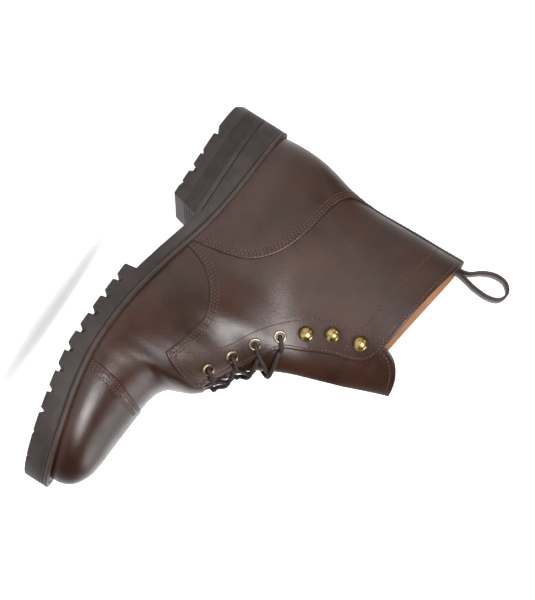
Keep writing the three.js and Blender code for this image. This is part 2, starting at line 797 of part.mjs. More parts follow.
function upper() {
  const quarters = form(quarterStep).intersect(quarterRegion());
  let solid = form(0).add(quarters).subtract(form(cavityGrowth));
  solid = solid.subtract(opening).subtract(belowFeather);
  for (const spot of [...spots(eyeletRows, "medial"), ...spots(eyeletRows, "lateral")]) {
    const radius = eyelet.barrel + eyeletClearance;
    const drill = new THREE.CylinderGeometry(radius, radius, 4 * (quarterStep + vampWall), 12);
    solid = solid.subtract(solidOf(drill.applyMatrix4(spot)));
  }
  return solid;
}

function overlayOf(region, lift) {
  const shell = form(lift + gap + overlay).subtract(form(lift + gap));
  return shell.intersect(region).subtract(opening).subtract(belowFeather);
}

function toeCap() {
  const region = across([...smoothLine(capRows, 1), point(1.1, 0.4), point(1.1, 0)]);
  return overlayOf(region, 0);
}

function heelCounter() {
  const region = across([...smoothLine(counterRows, 1), point(-0.1, 1.03), point(-0.1, 0)]);
  return overlayOf(region, quarterStep);
}

function tongue() {
  const exit = [point(0.58, 1.03), point(0.84, 0.6), point(0.695, 0.382)];
  const region = across([...smoothLine(tongueRows, 1), ...exit]);
  const outer = form((p) => cavityGrowth(p) - gap);
  const inner = form((p) => cavityGrowth(p) - gap - tongueWall);
  return outer.subtract(inner).intersect(region);
}

// Frames on the quarter's face for fittings: origin on the leather, Y outward.
function spots(rows, side) {
  return rows.map((row) => {
    const { x, z } = point(row.along, row.up);
    const normal = outward(x, z, side);
    const place = skin(x, z, side).addScaledVector(normal, quarterStep);
    const turn = new THREE.Quaternion().setFromUnitVectors(new THREE.Vector3(0, 1, 0), normal);
    return new THREE.Matrix4().compose(place, turn, new THREE.Vector3(1, 1, 1));
  });
}

function turned(profile, sides = 8) {
  return new THREE.LatheGeometry(
    profile.map(([radius, height]) => new THREE.Vector2(radius, height)),
    sides,
  );
}

function eyeletRing() {
  const { hole, barrel, flange, rise, depth } = eyelet;
  return turned([
    [hole, -depth],
    [barrel, -depth],
    [barrel, gap],
    [flange, gap],
    [flange, 0.55 * rise],
    [0.75 * flange, gap + rise],
    [hole, 0.7 * rise],
    [hole, -depth],
  ]);
}

function ballHook() {
  const { base, stem, ball, rise } = hook;
  return turned([
    [0, gap],
    [base, gap],
    [base, 0.15 * rise],
    [stem, 0.18 * rise],
    [stem, 0.46 * rise],
    [0.87 * ball, 0.48 * rise],
    [ball, 0.6 * rise],
    [0.85 * ball, 0.8 * rise],
    [0.5 * ball, 0.95 * rise],
    [0, rise],
  ]);
}

// How high the lace's middle runs over an eyelet.
const laceHeight = eyelet.rise + 3 * gap + laceRadius;

// The place over the front line that is nearest to a point, clear for a lace.
function overThroat(p) {
  const i = frontLine.reduce((best, q, j) => {
    const away = (at) => Math.hypot(at.x - p.x, at.z - p.z);
    return away(q) < away(frontLine[best]) ? j : best;
  }, 1);
  const along = frontLine[i + 1].clone().sub(frontLine[i - 1]).normalize();
  const lift = laceRadius + 2 * gap;
  return new THREE.Vector3(frontLine[i].x + along.z * lift, p.y, frontLine[i].z - along.x * lift);
}

// One lace crossing, from over one eyelet across the throat to over another: level as far as
// the eyelet's rim, then over the front line.
function strand(from, to) {
  const over = (spot) => new THREE.Vector3(0, laceHeight, 0).applyMatrix4(spot);
  const [start, end] = [over(from), over(to)];
  const top = overThroat(start.clone().lerp(end, 0.5));
  const rim = (spot, centre) => {
    const up = new THREE.Vector3().setFromMatrixColumn(spot, 1);
    const away = top.clone().sub(centre).projectOnPlane(up).normalize();
    return centre.clone().addScaledVector(away, 1.1 * eyelet.flange);
  };
  const points = [start, rim(from, start), top, rim(to, end), end];
  const shape = new THREE.Shape().absarc(0, 0, laceRadius, 0, 2 * Math.PI);
  const extrudePath = new THREE.CatmullRomCurve3(points, false, "centripetal");
  const options = { steps: 8, extrudePath, bevelEnabled: false, curveSegments: 3 };
  return solidOf(new THREE.ExtrudeGeometry(shape, options));
}

// The stretch that goes down through an eyelet.
function plunge(spot) {
  const run = laceHeight + eyelet.depth;
  const geometry = new THREE.CylinderGeometry(laceRadius, laceRadius, run, 8);
  return solidOf(geometry.translate(0, laceHeight - run / 2, 0).applyMatrix4(spot));
}

function lace() {
  const medial = spots(eyeletRows, "medial");
  const lateral = spots(eyeletRows, "lateral");
  let solid = strand(medial[0], lateral[0]);
  for (let i = 0; i + 1 < eyeletRows.length; i++) {
    solid = solid.add(strand(medial[i], lateral[i + 1])).add(strand(lateral[i], medial[i + 1]));
  }
  return [...medial, ...lateral].map(plunge).reduce((sum, peg) => sum.add(peg), solid);
}

// The pull loop, seen from the side: a strap with both ends inside the collar.
// Back and rise are shares of the loop's height, from the collar's inner face and top.
function pullLoop() {
  const inner = readLine(backLine, "z", bootHeight, "x") + vampWall - liningStep;
  const leg = inner + 0.2 * strap.wide + gap + strap.thick / 2;
  const apart = -(strap.thick + gap) / strap.loop;
  const run = (back, rise) => {
    return new THREE.Vector2(leg - back * strap.loop, bootHeight + rise * strap.loop);
  };
  const line = new THREE.SplineCurve([
    run(0, -0.43),
    run(0, -0.03),
    run(0.043, 0.16),
    run(0.2, 0.38),
    run(0.3, 0.62),
    run(0.27, 0.865),
    run(0.11, 1),
    run(-0.076, 0.93),
    run(-0.15, 0.73),
    run(-0.14, 0.405),
    run(-0.087, 0.16),
    run(apart, -0.03),
    run(apart, -0.43),
  ]).getPoints(36);
  const edge = (half) =>
    line.map((p, i) => {
      const before = line[Math.max(i - 1, 0)];
      const after = line[Math.min(i + 1, line.length - 1)];
      const along = after.clone().sub(before).normalize();
      return new THREE.Vector2(p.x - along.y * half, p.y + along.x * half);
    });
  const shape = new THREE.Shape([...edge(strap.thick / 2), ...edge(-strap.thick / 2).reverse()]);
  const geometry = new THREE.ExtrudeGeometry(shape, { depth: strap.wide, bevelEnabled: false });
  return geometry.rotateX(Math.PI / 2).translate(0, strap.wide / 2, 0);
}

const leather = new THREE.MeshStandardMaterial({ color: "#3e271d", roughness: 0.45 });
const darkLeather = new THREE.MeshStandardMaterial({ color: "#2a1b15", roughness: 0.5 });
const rubber = new THREE.MeshStandardMaterial({ color: "#332b29", roughness: 0.6 });
const board = new THREE.MeshStandardMaterial({ color: "#9a6a40", roughness: 0.7 });
const cord = new THREE.MeshStandardMaterial({ color: "#2a1a14", roughness: 0.7 });
const brass = new THREE.MeshStandardMaterial({ color: "#8f7a3c", roughness: 0.35, metalness: 1 });

function piece(name, geometry, material) {
  const mesh = new THREE.Mesh(geometry, material);
  mesh.name = name;
  return mesh;
}

function fittings(name, rows, geometry) {
  const group = new THREE.Group();
  for (const side of ["medial", "lateral"]) {
    spots(rows, side).forEach((spot, i) => {
      const mesh = piece(`${name}_${side}_${i + 1}`, geometry, brass);
      mesh.applyMatrix4(spot);
      group.add(mesh);
    });
  }
  return group;
}

const boot = new THREE.Group();
boot.add(
  piece("heel", geometryOf(heel()), rubber),
  piece("outsole", geometryOf(outsole()), rubber),
  piece("midsole", geometryOf(midsole()), rubber),
  piece("insole", geometryOf(insole()), board),
  piece("upper", geometryOf(upper()), leather),
  piece("toe_cap", geometryOf(toeCap()), leather),
  piece("heel_counter", geometryOf(heelCounter()), leather),
  piece("tongue", geometryOf(tongue()), leather),
  piece("pull_loop", pullLoop(), darkLeather),
  piece("lace", geometryOf(lace()), cord),
  fittings("eyelet", eyeletRows, eyeletRing()),
  fittings("hook", hookRows, ballHook()),
);

// The origin is on the floor, under the middle of the boot's box.
const box = new THREE.Box3().setFromObject(boot, true);
boot.position.set(-(box.min.x + box.max.x) / 2, -(box.min.y + box.max.y) / 2, -box.min.z);
const part = new THREE.Group();
part.add(boot);

export default part;
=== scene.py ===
"""The looks of a laced leather work boot, left foot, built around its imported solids.

Sizes are millimetres in the boot's own frame (X from the heel's back to the toe, Y to the
outer side, Z up) until a mesh is made, which shifts them onto the frame in metres.
"""

import math

import bmesh
import bpy
import numpy as np
from mathutils import Matrix, Vector


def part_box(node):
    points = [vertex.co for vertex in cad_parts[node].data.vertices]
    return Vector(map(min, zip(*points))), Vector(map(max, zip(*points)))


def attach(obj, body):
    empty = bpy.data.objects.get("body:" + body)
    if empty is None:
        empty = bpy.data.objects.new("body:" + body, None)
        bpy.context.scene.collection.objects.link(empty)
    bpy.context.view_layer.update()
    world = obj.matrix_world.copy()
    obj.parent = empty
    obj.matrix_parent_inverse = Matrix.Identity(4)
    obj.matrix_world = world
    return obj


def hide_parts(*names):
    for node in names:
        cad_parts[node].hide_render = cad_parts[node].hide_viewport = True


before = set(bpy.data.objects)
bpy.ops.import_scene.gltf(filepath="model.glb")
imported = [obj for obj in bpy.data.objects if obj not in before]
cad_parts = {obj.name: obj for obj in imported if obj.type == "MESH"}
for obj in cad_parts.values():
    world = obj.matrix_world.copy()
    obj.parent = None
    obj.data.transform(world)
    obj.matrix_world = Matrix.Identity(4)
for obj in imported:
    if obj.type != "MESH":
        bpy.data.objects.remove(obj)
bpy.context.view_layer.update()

# Driving sizes, as in the solids
LENGTH = 308.0
BALL_WIDTH = 107.0
HEIGHT = 199.0
HEEL_SEAT = 41.0
HEEL_BLOCK = 23.0
TOE_SPRING = 19.0
BALL_MARGIN = 5.5
VAMP_WALL = 2.2
QUARTER_STEP = 1.3
LINING_STEP = 1.1
OVERLAY = 1.3
TONGUE_WALL = 2.0
INSOLE_THICKNESS = 3.0
MIDSOLE_THICKNESS = 3.2
WAIST_THICKNESS = 12.0
GAP = 0.3
LAST_HALF = BALL_WIDTH / 2 - BALL_MARGIN
INSOLE_INSET = VAMP_WALL + 1.2

# Lines in the side view: rows of (share of LENGTH, share of HEIGHT)
FRONT = [
    (0.973, 0.171), (0.973, 0.191), (0.972, 0.214), (0.966, 0.239), (0.956, 0.26),
    (0.941, 0.276), (0.919, 0.29), (0.89, 0.297), (0.851, 0.299), (0.812, 0.302),
    (0.76, 0.307), (0.714, 0.313), (0.679, 0.327), (0.659, 0.352), (0.649, 0.389),
    (0.638, 0.43), (0.619, 0.465), (0.593, 0.492), (0.56, 0.522), (0.529, 0.56),
    (0.506, 0.611), (0.485, 0.678), (0.464, 0.769), (0.443, 0.864), (0.425, 0.935),
    (0.407, 1.01), (0.388, 1.116),
]
BACK = [
    (0.019, 0.206), (0.016, 0.251), (0.015, 0.312), (0.018, 0.372), (0.026, 0.432),
    (0.037, 0.492), (0.045, 0.553), (0.049, 0.618), (0.048, 0.704), (0.046, 0.804),
    (0.045, 0.91), (0.043, 1.005), (0.041, 1.116),
]
OPENING = [
    (-0.039, 1.018), (0.036, 1.0), (0.088, 0.985), (0.162, 0.962), (0.227, 0.945),
    (0.292, 0.93), (0.321, 0.922), (0.344, 0.915), (0.364, 0.902), (0.378, 0.879),
    (0.39, 0.834), (0.399, 0.779), (0.412, 0.729), (0.429, 0.676), (0.446, 0.623),
    (0.49, 0.566), (0.541, 0.515), (0.571, 0.489), (0.597, 0.467), (0.614, 0.454),
]
OPENING_EXIT = [(0.63, 0.49), (0.75, 0.7), (0.75, 1.3), (-0.1, 1.3)]
QUARTER = [
    (0.364, 0.05), (0.37, 0.141), (0.378, 0.186), (0.39, 0.226), (0.407, 0.261),
    (0.429, 0.291), (0.458, 0.318), (0.487, 0.33), (0.519, 0.327), (0.549, 0.317),
    (0.581, 0.302), (0.607, 0.289),
]
TAB = [
    (0.607, 0.289), (0.62, 0.319), (0.628, 0.359), (0.631, 0.402), (0.626, 0.432),
    (0.614, 0.454),
]
QUARTER_EXIT = [(0.6, 0.5), (0.6, 1.3), (-0.1, 1.3), (-0.1, 0)]
COUNTER = [
    (0.36, 0.05), (0.354, 0.151), (0.346, 0.226), (0.338, 0.286), (0.325, 0.342),
    (0.305, 0.384), (0.276, 0.422), (0.24, 0.452), (0.192, 0.475), (0.14, 0.492),
    (0.107, 0.503), (0.084, 0.518), (0.067, 0.545), (0.058, 0.593), (0.056, 0.653),
    (0.055, 0.754), (0.053, 0.879), (0.051, 1.03),
]
COUNTER_EXIT = [(-0.1, 1.03), (-0.1, 0)]
CAP = [
    (0.713, 0.05), (0.714, 0.141), (0.718, 0.186), (0.724, 0.231), (0.731, 0.271),
    (0.736, 0.34),
]
CAP_EXIT = [(1.1, 0.4), (1.1, 0)]
TONGUE = [
    (0.672, 0.281), (0.643, 0.322), (0.604, 0.372), (0.552, 0.432), (0.494, 0.5),
    (0.435, 0.57), (0.386, 0.648), (0.357, 0.724), (0.338, 0.814), (0.328, 0.894),
    (0.331, 0.945), (0.344, 0.98), (0.364, 1.007), (0.386, 1.022), (0.435, 1.03),
]
TONGUE_EXIT = [(0.58, 1.03), (0.84, 0.6), (0.695, 0.382)]
FACING_SEAM = [
    (0.308, 0.92), (0.321, 0.834), (0.334, 0.759), (0.344, 0.693), (0.367, 0.628),
    (0.386, 0.593), (0.416, 0.548), (0.461, 0.497), (0.506, 0.457), (0.562, 0.39),
    (0.578, 0.352),
]
COLLAR_SEAM = [
    (0.056, 0.889), (0.159, 0.864), (0.224, 0.844), (0.289, 0.829), (0.318, 0.819), (0.377, 0.804),
]
EYELETS = [(0.581, 0.437), (0.526, 0.482), (0.474, 0.528), (0.429, 0.588)]
HOOKS = [(0.39, 0.663), (0.36, 0.744), (0.344, 0.844)]
# The featherline, where upper meets sole: (share of LENGTH, share of HEEL_SEAT)
FEATHER = [
    (0.01, 1.0), (0.094, 0.983), (0.198, 0.927), (0.26, 0.866), (0.308, 0.8), (0.367, 0.676),
    (0.416, 0.585), (0.484, 0.495), (0.549, 0.446), (0.614, 0.422), (0.675, 0.427),
    (0.737, 0.476), (0.799, 0.561), (0.86, 0.671), (0.922, 0.78), (1.0, 0.92),
]
# Upright sections: along, centre, medial, lateral, bulge, full, round
SECTIONS = [
    (0.0, 0, 0.66, 0.67, 0.08, 2, 1.5),
    (0.227, 0.01, 0.656, 0.667, 0.08, 2, 1.5),
    (0.308, 0.021, 0.625, 0.667, 0.1, 2, 1.5),
    (0.367, 0.031, 0.594, 0.688, 0.13, 1.9, 1.5),
    (0.422, 0.021, 0.615, 0.74, 0.13, 1.7, 1.5),
    (0.487, 0.01, 0.719, 0.833, 0.08, 1.55, 1.6),
    (0.552, 0.01, 0.865, 0.927, 0.04, 1.5, 1.85),
    (0.617, 0, 0.958, 0.99, 0.03, 1.5, 1.95),
    (0.675, -0.01, 0.99, 1.0, 0.03, 1.7, 2),
    (0.737, -0.031, 0.99, 0.99, 0.03, 1.95, 2),
    (0.812, -0.067, 0.979, 0.979, 0.03, 2.1, 2),
    (0.893, -0.125, 0.969, 0.969, 0.03, 2.2, 2),
    (1.0, -0.167, 0.958, 0.958, 0.03, 2.3, 2),
]
# Level sections of heel and shaft: up, half width, where along the boot it is widest
LEVELS = [
    (0.1, 0.63, 0.136), (0.206, 0.646, 0.136), (0.302, 0.677, 0.143), (0.402, 0.673, 0.149),
    (0.503, 0.662, 0.156), (0.603, 0.673, 0.169), (0.704, 0.704, 0.182), (0.804, 0.746, 0.195),
    (0.905, 0.783, 0.208), (1.005, 0.812, 0.214), (1.116, 0.833, 0.214),
]
MARGIN = [
    (0.0, 1.1), (0.1, 0.84), (0.3, 0.82), (0.38, 0.72), (0.5, 0.86), (0.65, 1), (0.85, 1.18),
    (1.0, 1.53),
]
# Ribs of the last: share of the low line, share of the front line
RIBS = [
    (0.0016, 0.01), (0.014, 0.045), (0.0474, 0.112), (0.0975, 0.203), (0.15, 0.303),
    (0.2, 0.383), (0.262, 0.438), (0.337, 0.488), (0.421, 0.535), (0.505, 0.575),
    (0.576, 0.608), (0.63, 0.641), (0.71, 0.695), (0.792, 0.762), (0.893, 0.837),
    (0.95, 0.888), (0.985, 0.957), (1, 1),
]
EASE = {"start": 0.5 * LENGTH, "end": 0.86 * LENGTH, "fade": 0.12 * LENGTH, "reach": 0.09 * LENGTH}
TOE_START = 0.665 * LENGTH
TOE_POWER = 2.3
INSTEP_FOOT = 0.66 * LENGTH
INSTEP_SLOPE = 1.3
FADE = {"start": 0.195 * LENGTH, "floor": 0.15 * HEIGHT, "lean": 0.5, "run": 0.195 * LENGTH}
LEVEL_POWERS = {"back": 2.1, "front": 1.9, "round": 1.45}
SIDES = {"medial": -1, "lateral": 1}


# Curves

def monotone(rows, key, name):
    """A monotone curve through one column of a table, as a function of the key column."""
    x = np.array([row[key] for row in rows], float)
    y = np.array([row[name] for row in rows], float)
    rise = np.diff(y) / np.diff(x)
    slope = np.concatenate([rise[:1], np.zeros(len(x) - 2), rise[-1:]])
    same = rise[:-1] * rise[1:] > 0
    total = np.where(same, rise[:-1] + rise[1:], 1)
    slope[1:-1] = np.where(same, 2 * rise[:-1] * rise[1:] / total, 0)

    def value(at):
        at = np.clip(at, x[0], x[-1])
        j = np.clip(np.searchsorted(x, at, side="right") - 1, 0, len(x) - 2)
        run = x[j + 1] - x[j]
        t = (at - x[j]) / run
        back = 1 - t
        return (
            y[j] * (1 + 2 * t) * back**2
            + slope[j] * run * t * back**2
            + y[j + 1] * t**2 * (3 - 2 * t)
            - slope[j + 1] * run * t**2 * back
        )

    return value


def flow(points, steps):
    """A centripetal Catmull-Rom curve through points of any dimension."""
    p = np.array(points, float)
    p = np.vstack([2 * p[0] - p[1], p, 2 * p[-1] - p[-2]])
    out = []
    for i in range(1, len(p) - 2):
        a, b, c, d = p[i - 1 : i + 3]
        t0 = max(np.linalg.norm(b - a) ** 0.5, 1e-6)
        t1 = max(np.linalg.norm(c - b) ** 0.5, 1e-6)
        t2 = max(np.linalg.norm(d - c) ** 0.5, 1e-6)
        m1 = ((b - a) / t0 - (c - a) / (t0 + t1) + (c - b) / t1) * t1
        m2 = ((c - b) / t1 - (d - b) / (t1 + t2) + (d - c) / t2) * t1
        t = np.linspace(0, 1, steps, endpoint=False)[:, None]
        out.append(
            b * (2 * t**3 - 3 * t**2 + 1)
            + m1 * (t**3 - 2 * t**2 + t)
            + c * (3 * t**2 - 2 * t**3)
            + m2 * (t**3 - t**2)
        )
    return np.vstack([*out, p[-2:-1]])


def side_line(rows, steps=8):
    return flow(np.array(rows, float) * (LENGTH, HEIGHT), steps)


def straight(rows):
    return np.array(rows, float) * (LENGTH, HEIGHT)


def smoothstep(x, low, high):
    t = np.clip((x - low) / (high - low), 0, 1)
    return t * t * (3 - 2 * t)


def along(line, spacing):
    """Points spaced evenly along a line."""
    run = np.concatenate([[0], np.cumsum(np.linalg.norm(np.diff(line, axis=0), axis=1))])
    count = max(int(round(run[-1] / spacing)), 1)
    at = np.linspace(0, run[-1], count + 1)
    return np.stack([np.interp(at, run, line[:, i]) for i in range(line.shape[1])], axis=1)


def shifted(line, away):
    """A side-view line moved sideways, to the left of its direction."""
    tangent = np.gradient(line, axis=0)
    tangent /= np.linalg.norm(tangent, axis=1)[:, None]
    return line + away * np.stack([-tangent[:, 1], tangent[:, 0]], axis=1)


# The last's surface

section = {
    name: monotone(SECTIONS, 0, i + 1)
    for i, name in enumerate(["centre", "medial", "lateral", "bulge", "full", "round"])
}
level_half = monotone(LEVELS, 0, 1)
level_middle = monotone(LEVELS, 0, 2)
feather_share = monotone(FEATHER, 0, 1)
margin_share = monotone(MARGIN, 0, 1)
rib_high = monotone(RIBS, 0, 1)
front_line = side_line(FRONT)
back_line = side_line(BACK, 6)
instep_line = front_line[front_line[:, 0] < INSTEP_FOOT]
toe_tip = front_line[0, 0]
heel_back = back_line[0, 0]


def feather(x):
    return feather_share(x / LENGTH) * HEEL_SEAT


def centre(x):
    return section["centre"](x / LENGTH) * LAST_HALF


def ridge_height(x):
    top = front_line[-1]
    by_x = front_line[np.argsort(front_line[:, 0])]
    height = np.interp(x, by_x[:, 0], by_x[:, 1])
    return np.where(x < top[0], top[1] + (top[0] - x) * INSTEP_SLOPE, height)


def eased_ridge(x):
    """The ridge's height, evened out where the instep rises from the vamp."""
    around = [ridge_height(x + by) for by in np.linspace(-EASE["reach"], EASE["reach"], 7)]
    rise = smoothstep(x, EASE["start"], EASE["start"] + EASE["fade"])
    fall = smoothstep(x, EASE["end"] - EASE["fade"], EASE["end"])
    share = rise * (1 - fall)
    return ridge_height(x) * (1 - share) + np.mean(around, axis=0) * share


def instep_at(z):
    foot = instep_line[0]
    x = np.interp(z, instep_line[:, 1], instep_line[:, 0])
    return np.where(z < foot[1], foot[0] + (foot[1] - z) * INSTEP_SLOPE, x)


def closing(share, full, roundness):
    return np.maximum(1 - np.clip(share, 0, 1) ** full, 0) ** (1 / roundness)


def level_reach(x, z):
    half = level_half(z / HEIGHT) * LAST_HALF
    middle = level_middle(z / HEIGHT) * LENGTH
    back = np.interp(z, back_line[:, 1], back_line[:, 0])
    behind = half * closing((middle - x) / (middle - back), LEVEL_POWERS["back"], 2)
    share = (x - middle) / (instep_at(z) - middle)
    ahead = half * closing(share, LEVEL_POWERS["front"], LEVEL_POWERS["round"])
    return np.where(x < middle, behind, ahead)


def upright_reach(x, z, sign):
    at = x / LENGTH
    toe = closing((x - TOE_START) / (toe_tip - TOE_START), TOE_POWER, 2)
    low = feather(x)
    share = np.clip((z - low) / (ridge_height(x) - low), 0, 1)
    eased = np.maximum(z - low, 0) / (eased_ridge(x) - low)
    share = np.clip(eased + (share - eased) * share**2, 0, 1)
    swell = 1 + section["bulge"](at) * 4 * share * (1 - share)
    half = np.where(sign < 0, section["medial"](at), section["lateral"](at)) * LAST_HALF * toe
    return half * swell * closing(share, section["full"](at), section["round"](at))


def skin(x, z, sign):
    """The last's skin over points of the side view; sign is -1 medial, 1 lateral."""
    x, z, sign = np.broadcast_arrays(*(np.asarray(v, float) for v in (x, z, sign)))
    start = FADE["start"] + FADE["lean"] * (z - FADE["floor"])
    share = smoothstep(x, start, start + FADE["run"])
    reach = level_reach(x, z) * (1 - share) + upright_reach(x, z, sign) * share
    return np.stack([x, centre(x) + sign * reach, z], axis=-1)


def outward(x, z, sign, step=0.5):
    ahead = skin(x + step, z, sign) - skin(x - step, z, sign)
    above = skin(x, z + step, sign) - skin(x, z - step, sign)
    normal = np.cross(ahead, above) * -np.asarray(sign, float)[..., None]
    return normal / np.linalg.norm(normal, axis=-1)[..., None]


def over_skin(x, z, sign, lift):
    lift = np.asarray(lift, float)[..., None]
    return skin(x, z, sign) + outward(x, z, sign) * lift


def cavity_growth(x, z):
    behind = smoothstep(-x, -0.36 * LENGTH, -0.28 * LENGTH)
    above = smoothstep(z, 0.5 * HEIGHT, 0.62 * HEIGHT)
    return -VAMP_WALL + LINING_STEP * np.maximum(behind, above)


# The last as a fine grid of ribs

RIB_COUNT = 340
RIB_STEPS = 54
SKIRT = 3.0


def on_line(line, shares):
    run = np.concatenate([[0], np.cumsum(np.linalg.norm(np.diff(line, axis=0), axis=1))])
    return np.stack([np.interp(shares * run[-1], run, line[:, i]) for i in (0, 1)], axis=1)


def last_grid():
    """Points (x, y, z, normal, sign) and faces of the whole last, medial low edge to lateral."""
    xs = np.arange(toe_tip, heel_back, -1.0)
    low_line = np.vstack([np.stack([xs, feather(xs)], axis=1), back_line])
    shares = np.linspace(RIBS[0][0], 1, RIB_COUNT)
    low = on_line(low_line, shares)
    high = on_line(front_line, rib_high(shares))
    rounded = smoothstep(shares, 0.52, 0.63)[:, None]
    even = np.linspace(0, 1, RIB_STEPS + 1)[None, :]
    eased = (1 - (1 - even) ** 1.8) * (1 - rounded) + (1 - np.cos(np.pi * even)) / 2 * rounded
    base = low[:, None, :] + (high - low)[:, None, :] * eased[..., None]
    on_back = (low[:, 1] > back_line[0, 1]) & (low[:, 0] < FADE["start"])
    sides = []
    for sign in (-1, 1):
        points = skin(base[..., 0], base[..., 1], sign)
        points[:, -1, 1] = centre(points[:, -1, 0])
        drop = np.where(on_back, 0, SKIRT)[:, None]
        foot = points[:, :1] - np.stack([0 * drop, 0 * drop, drop], axis=-1)
        sides.append(np.concatenate([foot, points], axis=1))
    points = np.concatenate([sides[0], sides[1][:, -2::-1]], axis=1)
    rows, columns = points.shape[:2]
    sign = np.where(np.arange(columns) <= RIB_STEPS + 1, -1.0, 1.0)
    index = np.arange(rows * columns).reshape(rows, columns)
    a, b = index[:-1, :-1].ravel(), index[:-1, 1:].ravel()
    c, d = index[1:, 1:].ravel(), index[1:, :-1].ravel()
    faces = np.concatenate([np.stack([a, b, c], 1), np.stack([a, c, d], 1)])
    flat = points.reshape(-1, 3)
    normals = vertex_normals(flat, faces)
    table = np.concatenate([flat, normals, np.tile(sign, rows)[:, None]], axis=1)
    return table, faces


def vertex_normals(points, faces):
    """Vertex normals, shared by the vertices that lie at one place."""
    a, b, c = (points[faces[:, i]] for i in range(3))
    normal = np.cross(b - a, c - a)
    _, same = np.unique(np.round(points, 3), axis=0, return_inverse=True)
    same = same.ravel()
    total = np.zeros((same.max() + 1, 3))
    for i in range(3):
        np.add.at(total, same[faces[:, i]], normal)
    total /= np.maximum(np.linalg.norm(total, axis=1), 1e-9)[:, None]
    return total[same]


def inside_by(outline):
    """A function of side-view points: the distance to an outline, positive inside it."""
    start = outline
    run = np.roll(outline, -1, axis=0) - start

    def distance(x, z):
        out = np.empty(len(x))
        for i in range(0, len(x), 8000):
            p = np.stack([x[i : i + 8000], z[i : i + 8000]], axis=1)[:, None, :]
            t = np.clip(((p - start) * run).sum(-1) / (run**2).sum(-1), 0, 1)
            near = np.linalg.norm(p - start - run * t[..., None], axis=-1).min(1)
            low = start[:, 1] <= p[..., 1]
            end_low = (start + run)[:, 1] <= p[..., 1]
            side = run[:, 0] * (p[..., 1] - start[:, 1]) - run[:, 1] * (p[..., 0] - start[:, 0])
            wind = (low & ~end_low & (side > 0)).sum(1) - (~low & end_low & (side < 0)).sum(1)
            out[i : i + 8000] = np.where(wind != 0, near, -near)
        return out

    return distance


def split(points, faces, level):
    """Cuts the triangles along level = 0, keeping both sides."""
    side = level > 0
    count = side[faces].sum(1)
    mixed = (count == 1) | (count == 2)
    cut = faces[mixed]
    odd = side[cut] == (count[mixed] == 1)[:, None]
    turn = odd.argmax(1)[:, None] + np.arange(3)
    a, b, c = np.take_along_axis(cut, turn % 3, 1).T
    edges = np.sort(np.concatenate([np.stack([a, b], 1), np.stack([a, c], 1)]), axis=1)
    keys, place = np.unique(edges, axis=0, return_inverse=True)
    place = place.ravel() + len(points)
    first, second = level[keys[:, 0]], level[keys[:, 1]]
    t = (first / (first - second))[:, None]
    new = points[keys[:, 0]] * (1 - t) + points[keys[:, 1]] * t
    ab, ac = place[: len(cut)], place[len(cut) :]
    pieces = [np.stack([a, ab, ac], 1), np.stack([ab, b, c], 1), np.stack([ab, c, ac], 1)]
    return np.vstack([points, new]), np.concatenate([faces[~mixed], *pieces])


def trimmed(table, faces, fields, levels):
    """The part of the grid where every field is positive, with edge loops at the levels."""
    for field in fields:
        value = field(table[:, 0], table[:, 2])
        faces = faces[(value[faces] > 0).any(1)]
        for level in levels:
            count = len(table)
            table, faces = split(table, faces, value - level)
            fresh = field(table[count:, 0], table[count:, 2])
            value = np.concatenate([value, fresh])
        faces = faces[value[faces].mean(1) > 0]
        used, faces = np.unique(faces, return_inverse=True)
        faces = faces.reshape(-1, 3)
        table = table[used]
    return table, faces


def roll(distance, radius):
    """Height share of a rounded edge at a distance in from it."""
    return np.sqrt(1 - (1 - np.clip(distance / radius, 0, 1)) ** 2)


def seam_dip(distance, at, deep=0.22, wide=0.9):
    return -deep * np.exp(-(((distance - at) / wide) ** 2))


# Meshes and materials

def mesh_object(name, points, faces, material, smooth=True):
    """A mesh from points in mm of the boot's frame, welded, that rides on the boot."""
    mesh = bpy.data.meshes.new(name)
    placed = (np.asarray(points, float) + SHIFT) * 0.001
    mesh.from_pydata(placed.tolist(), [], [list(map(int, f)) for f in faces])
    mesh.validate()
    work = bmesh.new()
    work.from_mesh(mesh)
    bmesh.ops.remove_doubles(work, verts=work.verts, dist=0.00001)
    bmesh.ops.dissolve_degenerate(work, edges=work.edges, dist=0.000005)
    work.to_mesh(mesh)
    work.free()
    mesh.polygons.foreach_set("use_smooth", [smooth] * len(mesh.polygons))
    obj = bpy.data.objects.new(name, mesh)
    bpy.context.scene.collection.objects.link(obj)
    mesh.materials.append(material)
    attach(obj, "root")
    return obj


def nodes_of(name):
    material = bpy.data.materials.new(name)
    material.use_nodes = True
    tree = material.node_tree
    return material, tree, tree.nodes["Principled BSDF"]


def noise(tree, scale, detail=3.0, roughness=0.5):
    node = tree.nodes.new("ShaderNodeTexNoise")
    node.inputs["Scale"].default_value = scale
    node.inputs["Detail"].default_value = detail
    node.inputs["Roughness"].default_value = roughness
    where = tree.nodes.new("ShaderNodeTexCoord")
    tree.links.new(where.outputs["Object"], node.inputs["Vector"])
    return node.outputs["Fac"]


def cells(tree, scale, feature="F1"):
    node = tree.nodes.new("ShaderNodeTexVoronoi")
    node.feature = feature
    node.inputs["Scale"].default_value = scale
    where = tree.nodes.new("ShaderNodeTexCoord")
    tree.links.new(where.outputs["Object"], node.inputs["Vector"])
    return node.outputs["Distance"]


def ramp(tree, source, stops):
    node = tree.nodes.new("ShaderNodeValToRGB")
    for i, (place, color) in enumerate(stops):
        stop = node.color_ramp.elements[i] if i < 2 else node.color_ramp.elements.new(place)
        stop.position = place
        stop.color = (*color, 1) if len(color) == 3 else color
    tree.links.new(source, node.inputs["Fac"])
    return node.outputs["Color"]


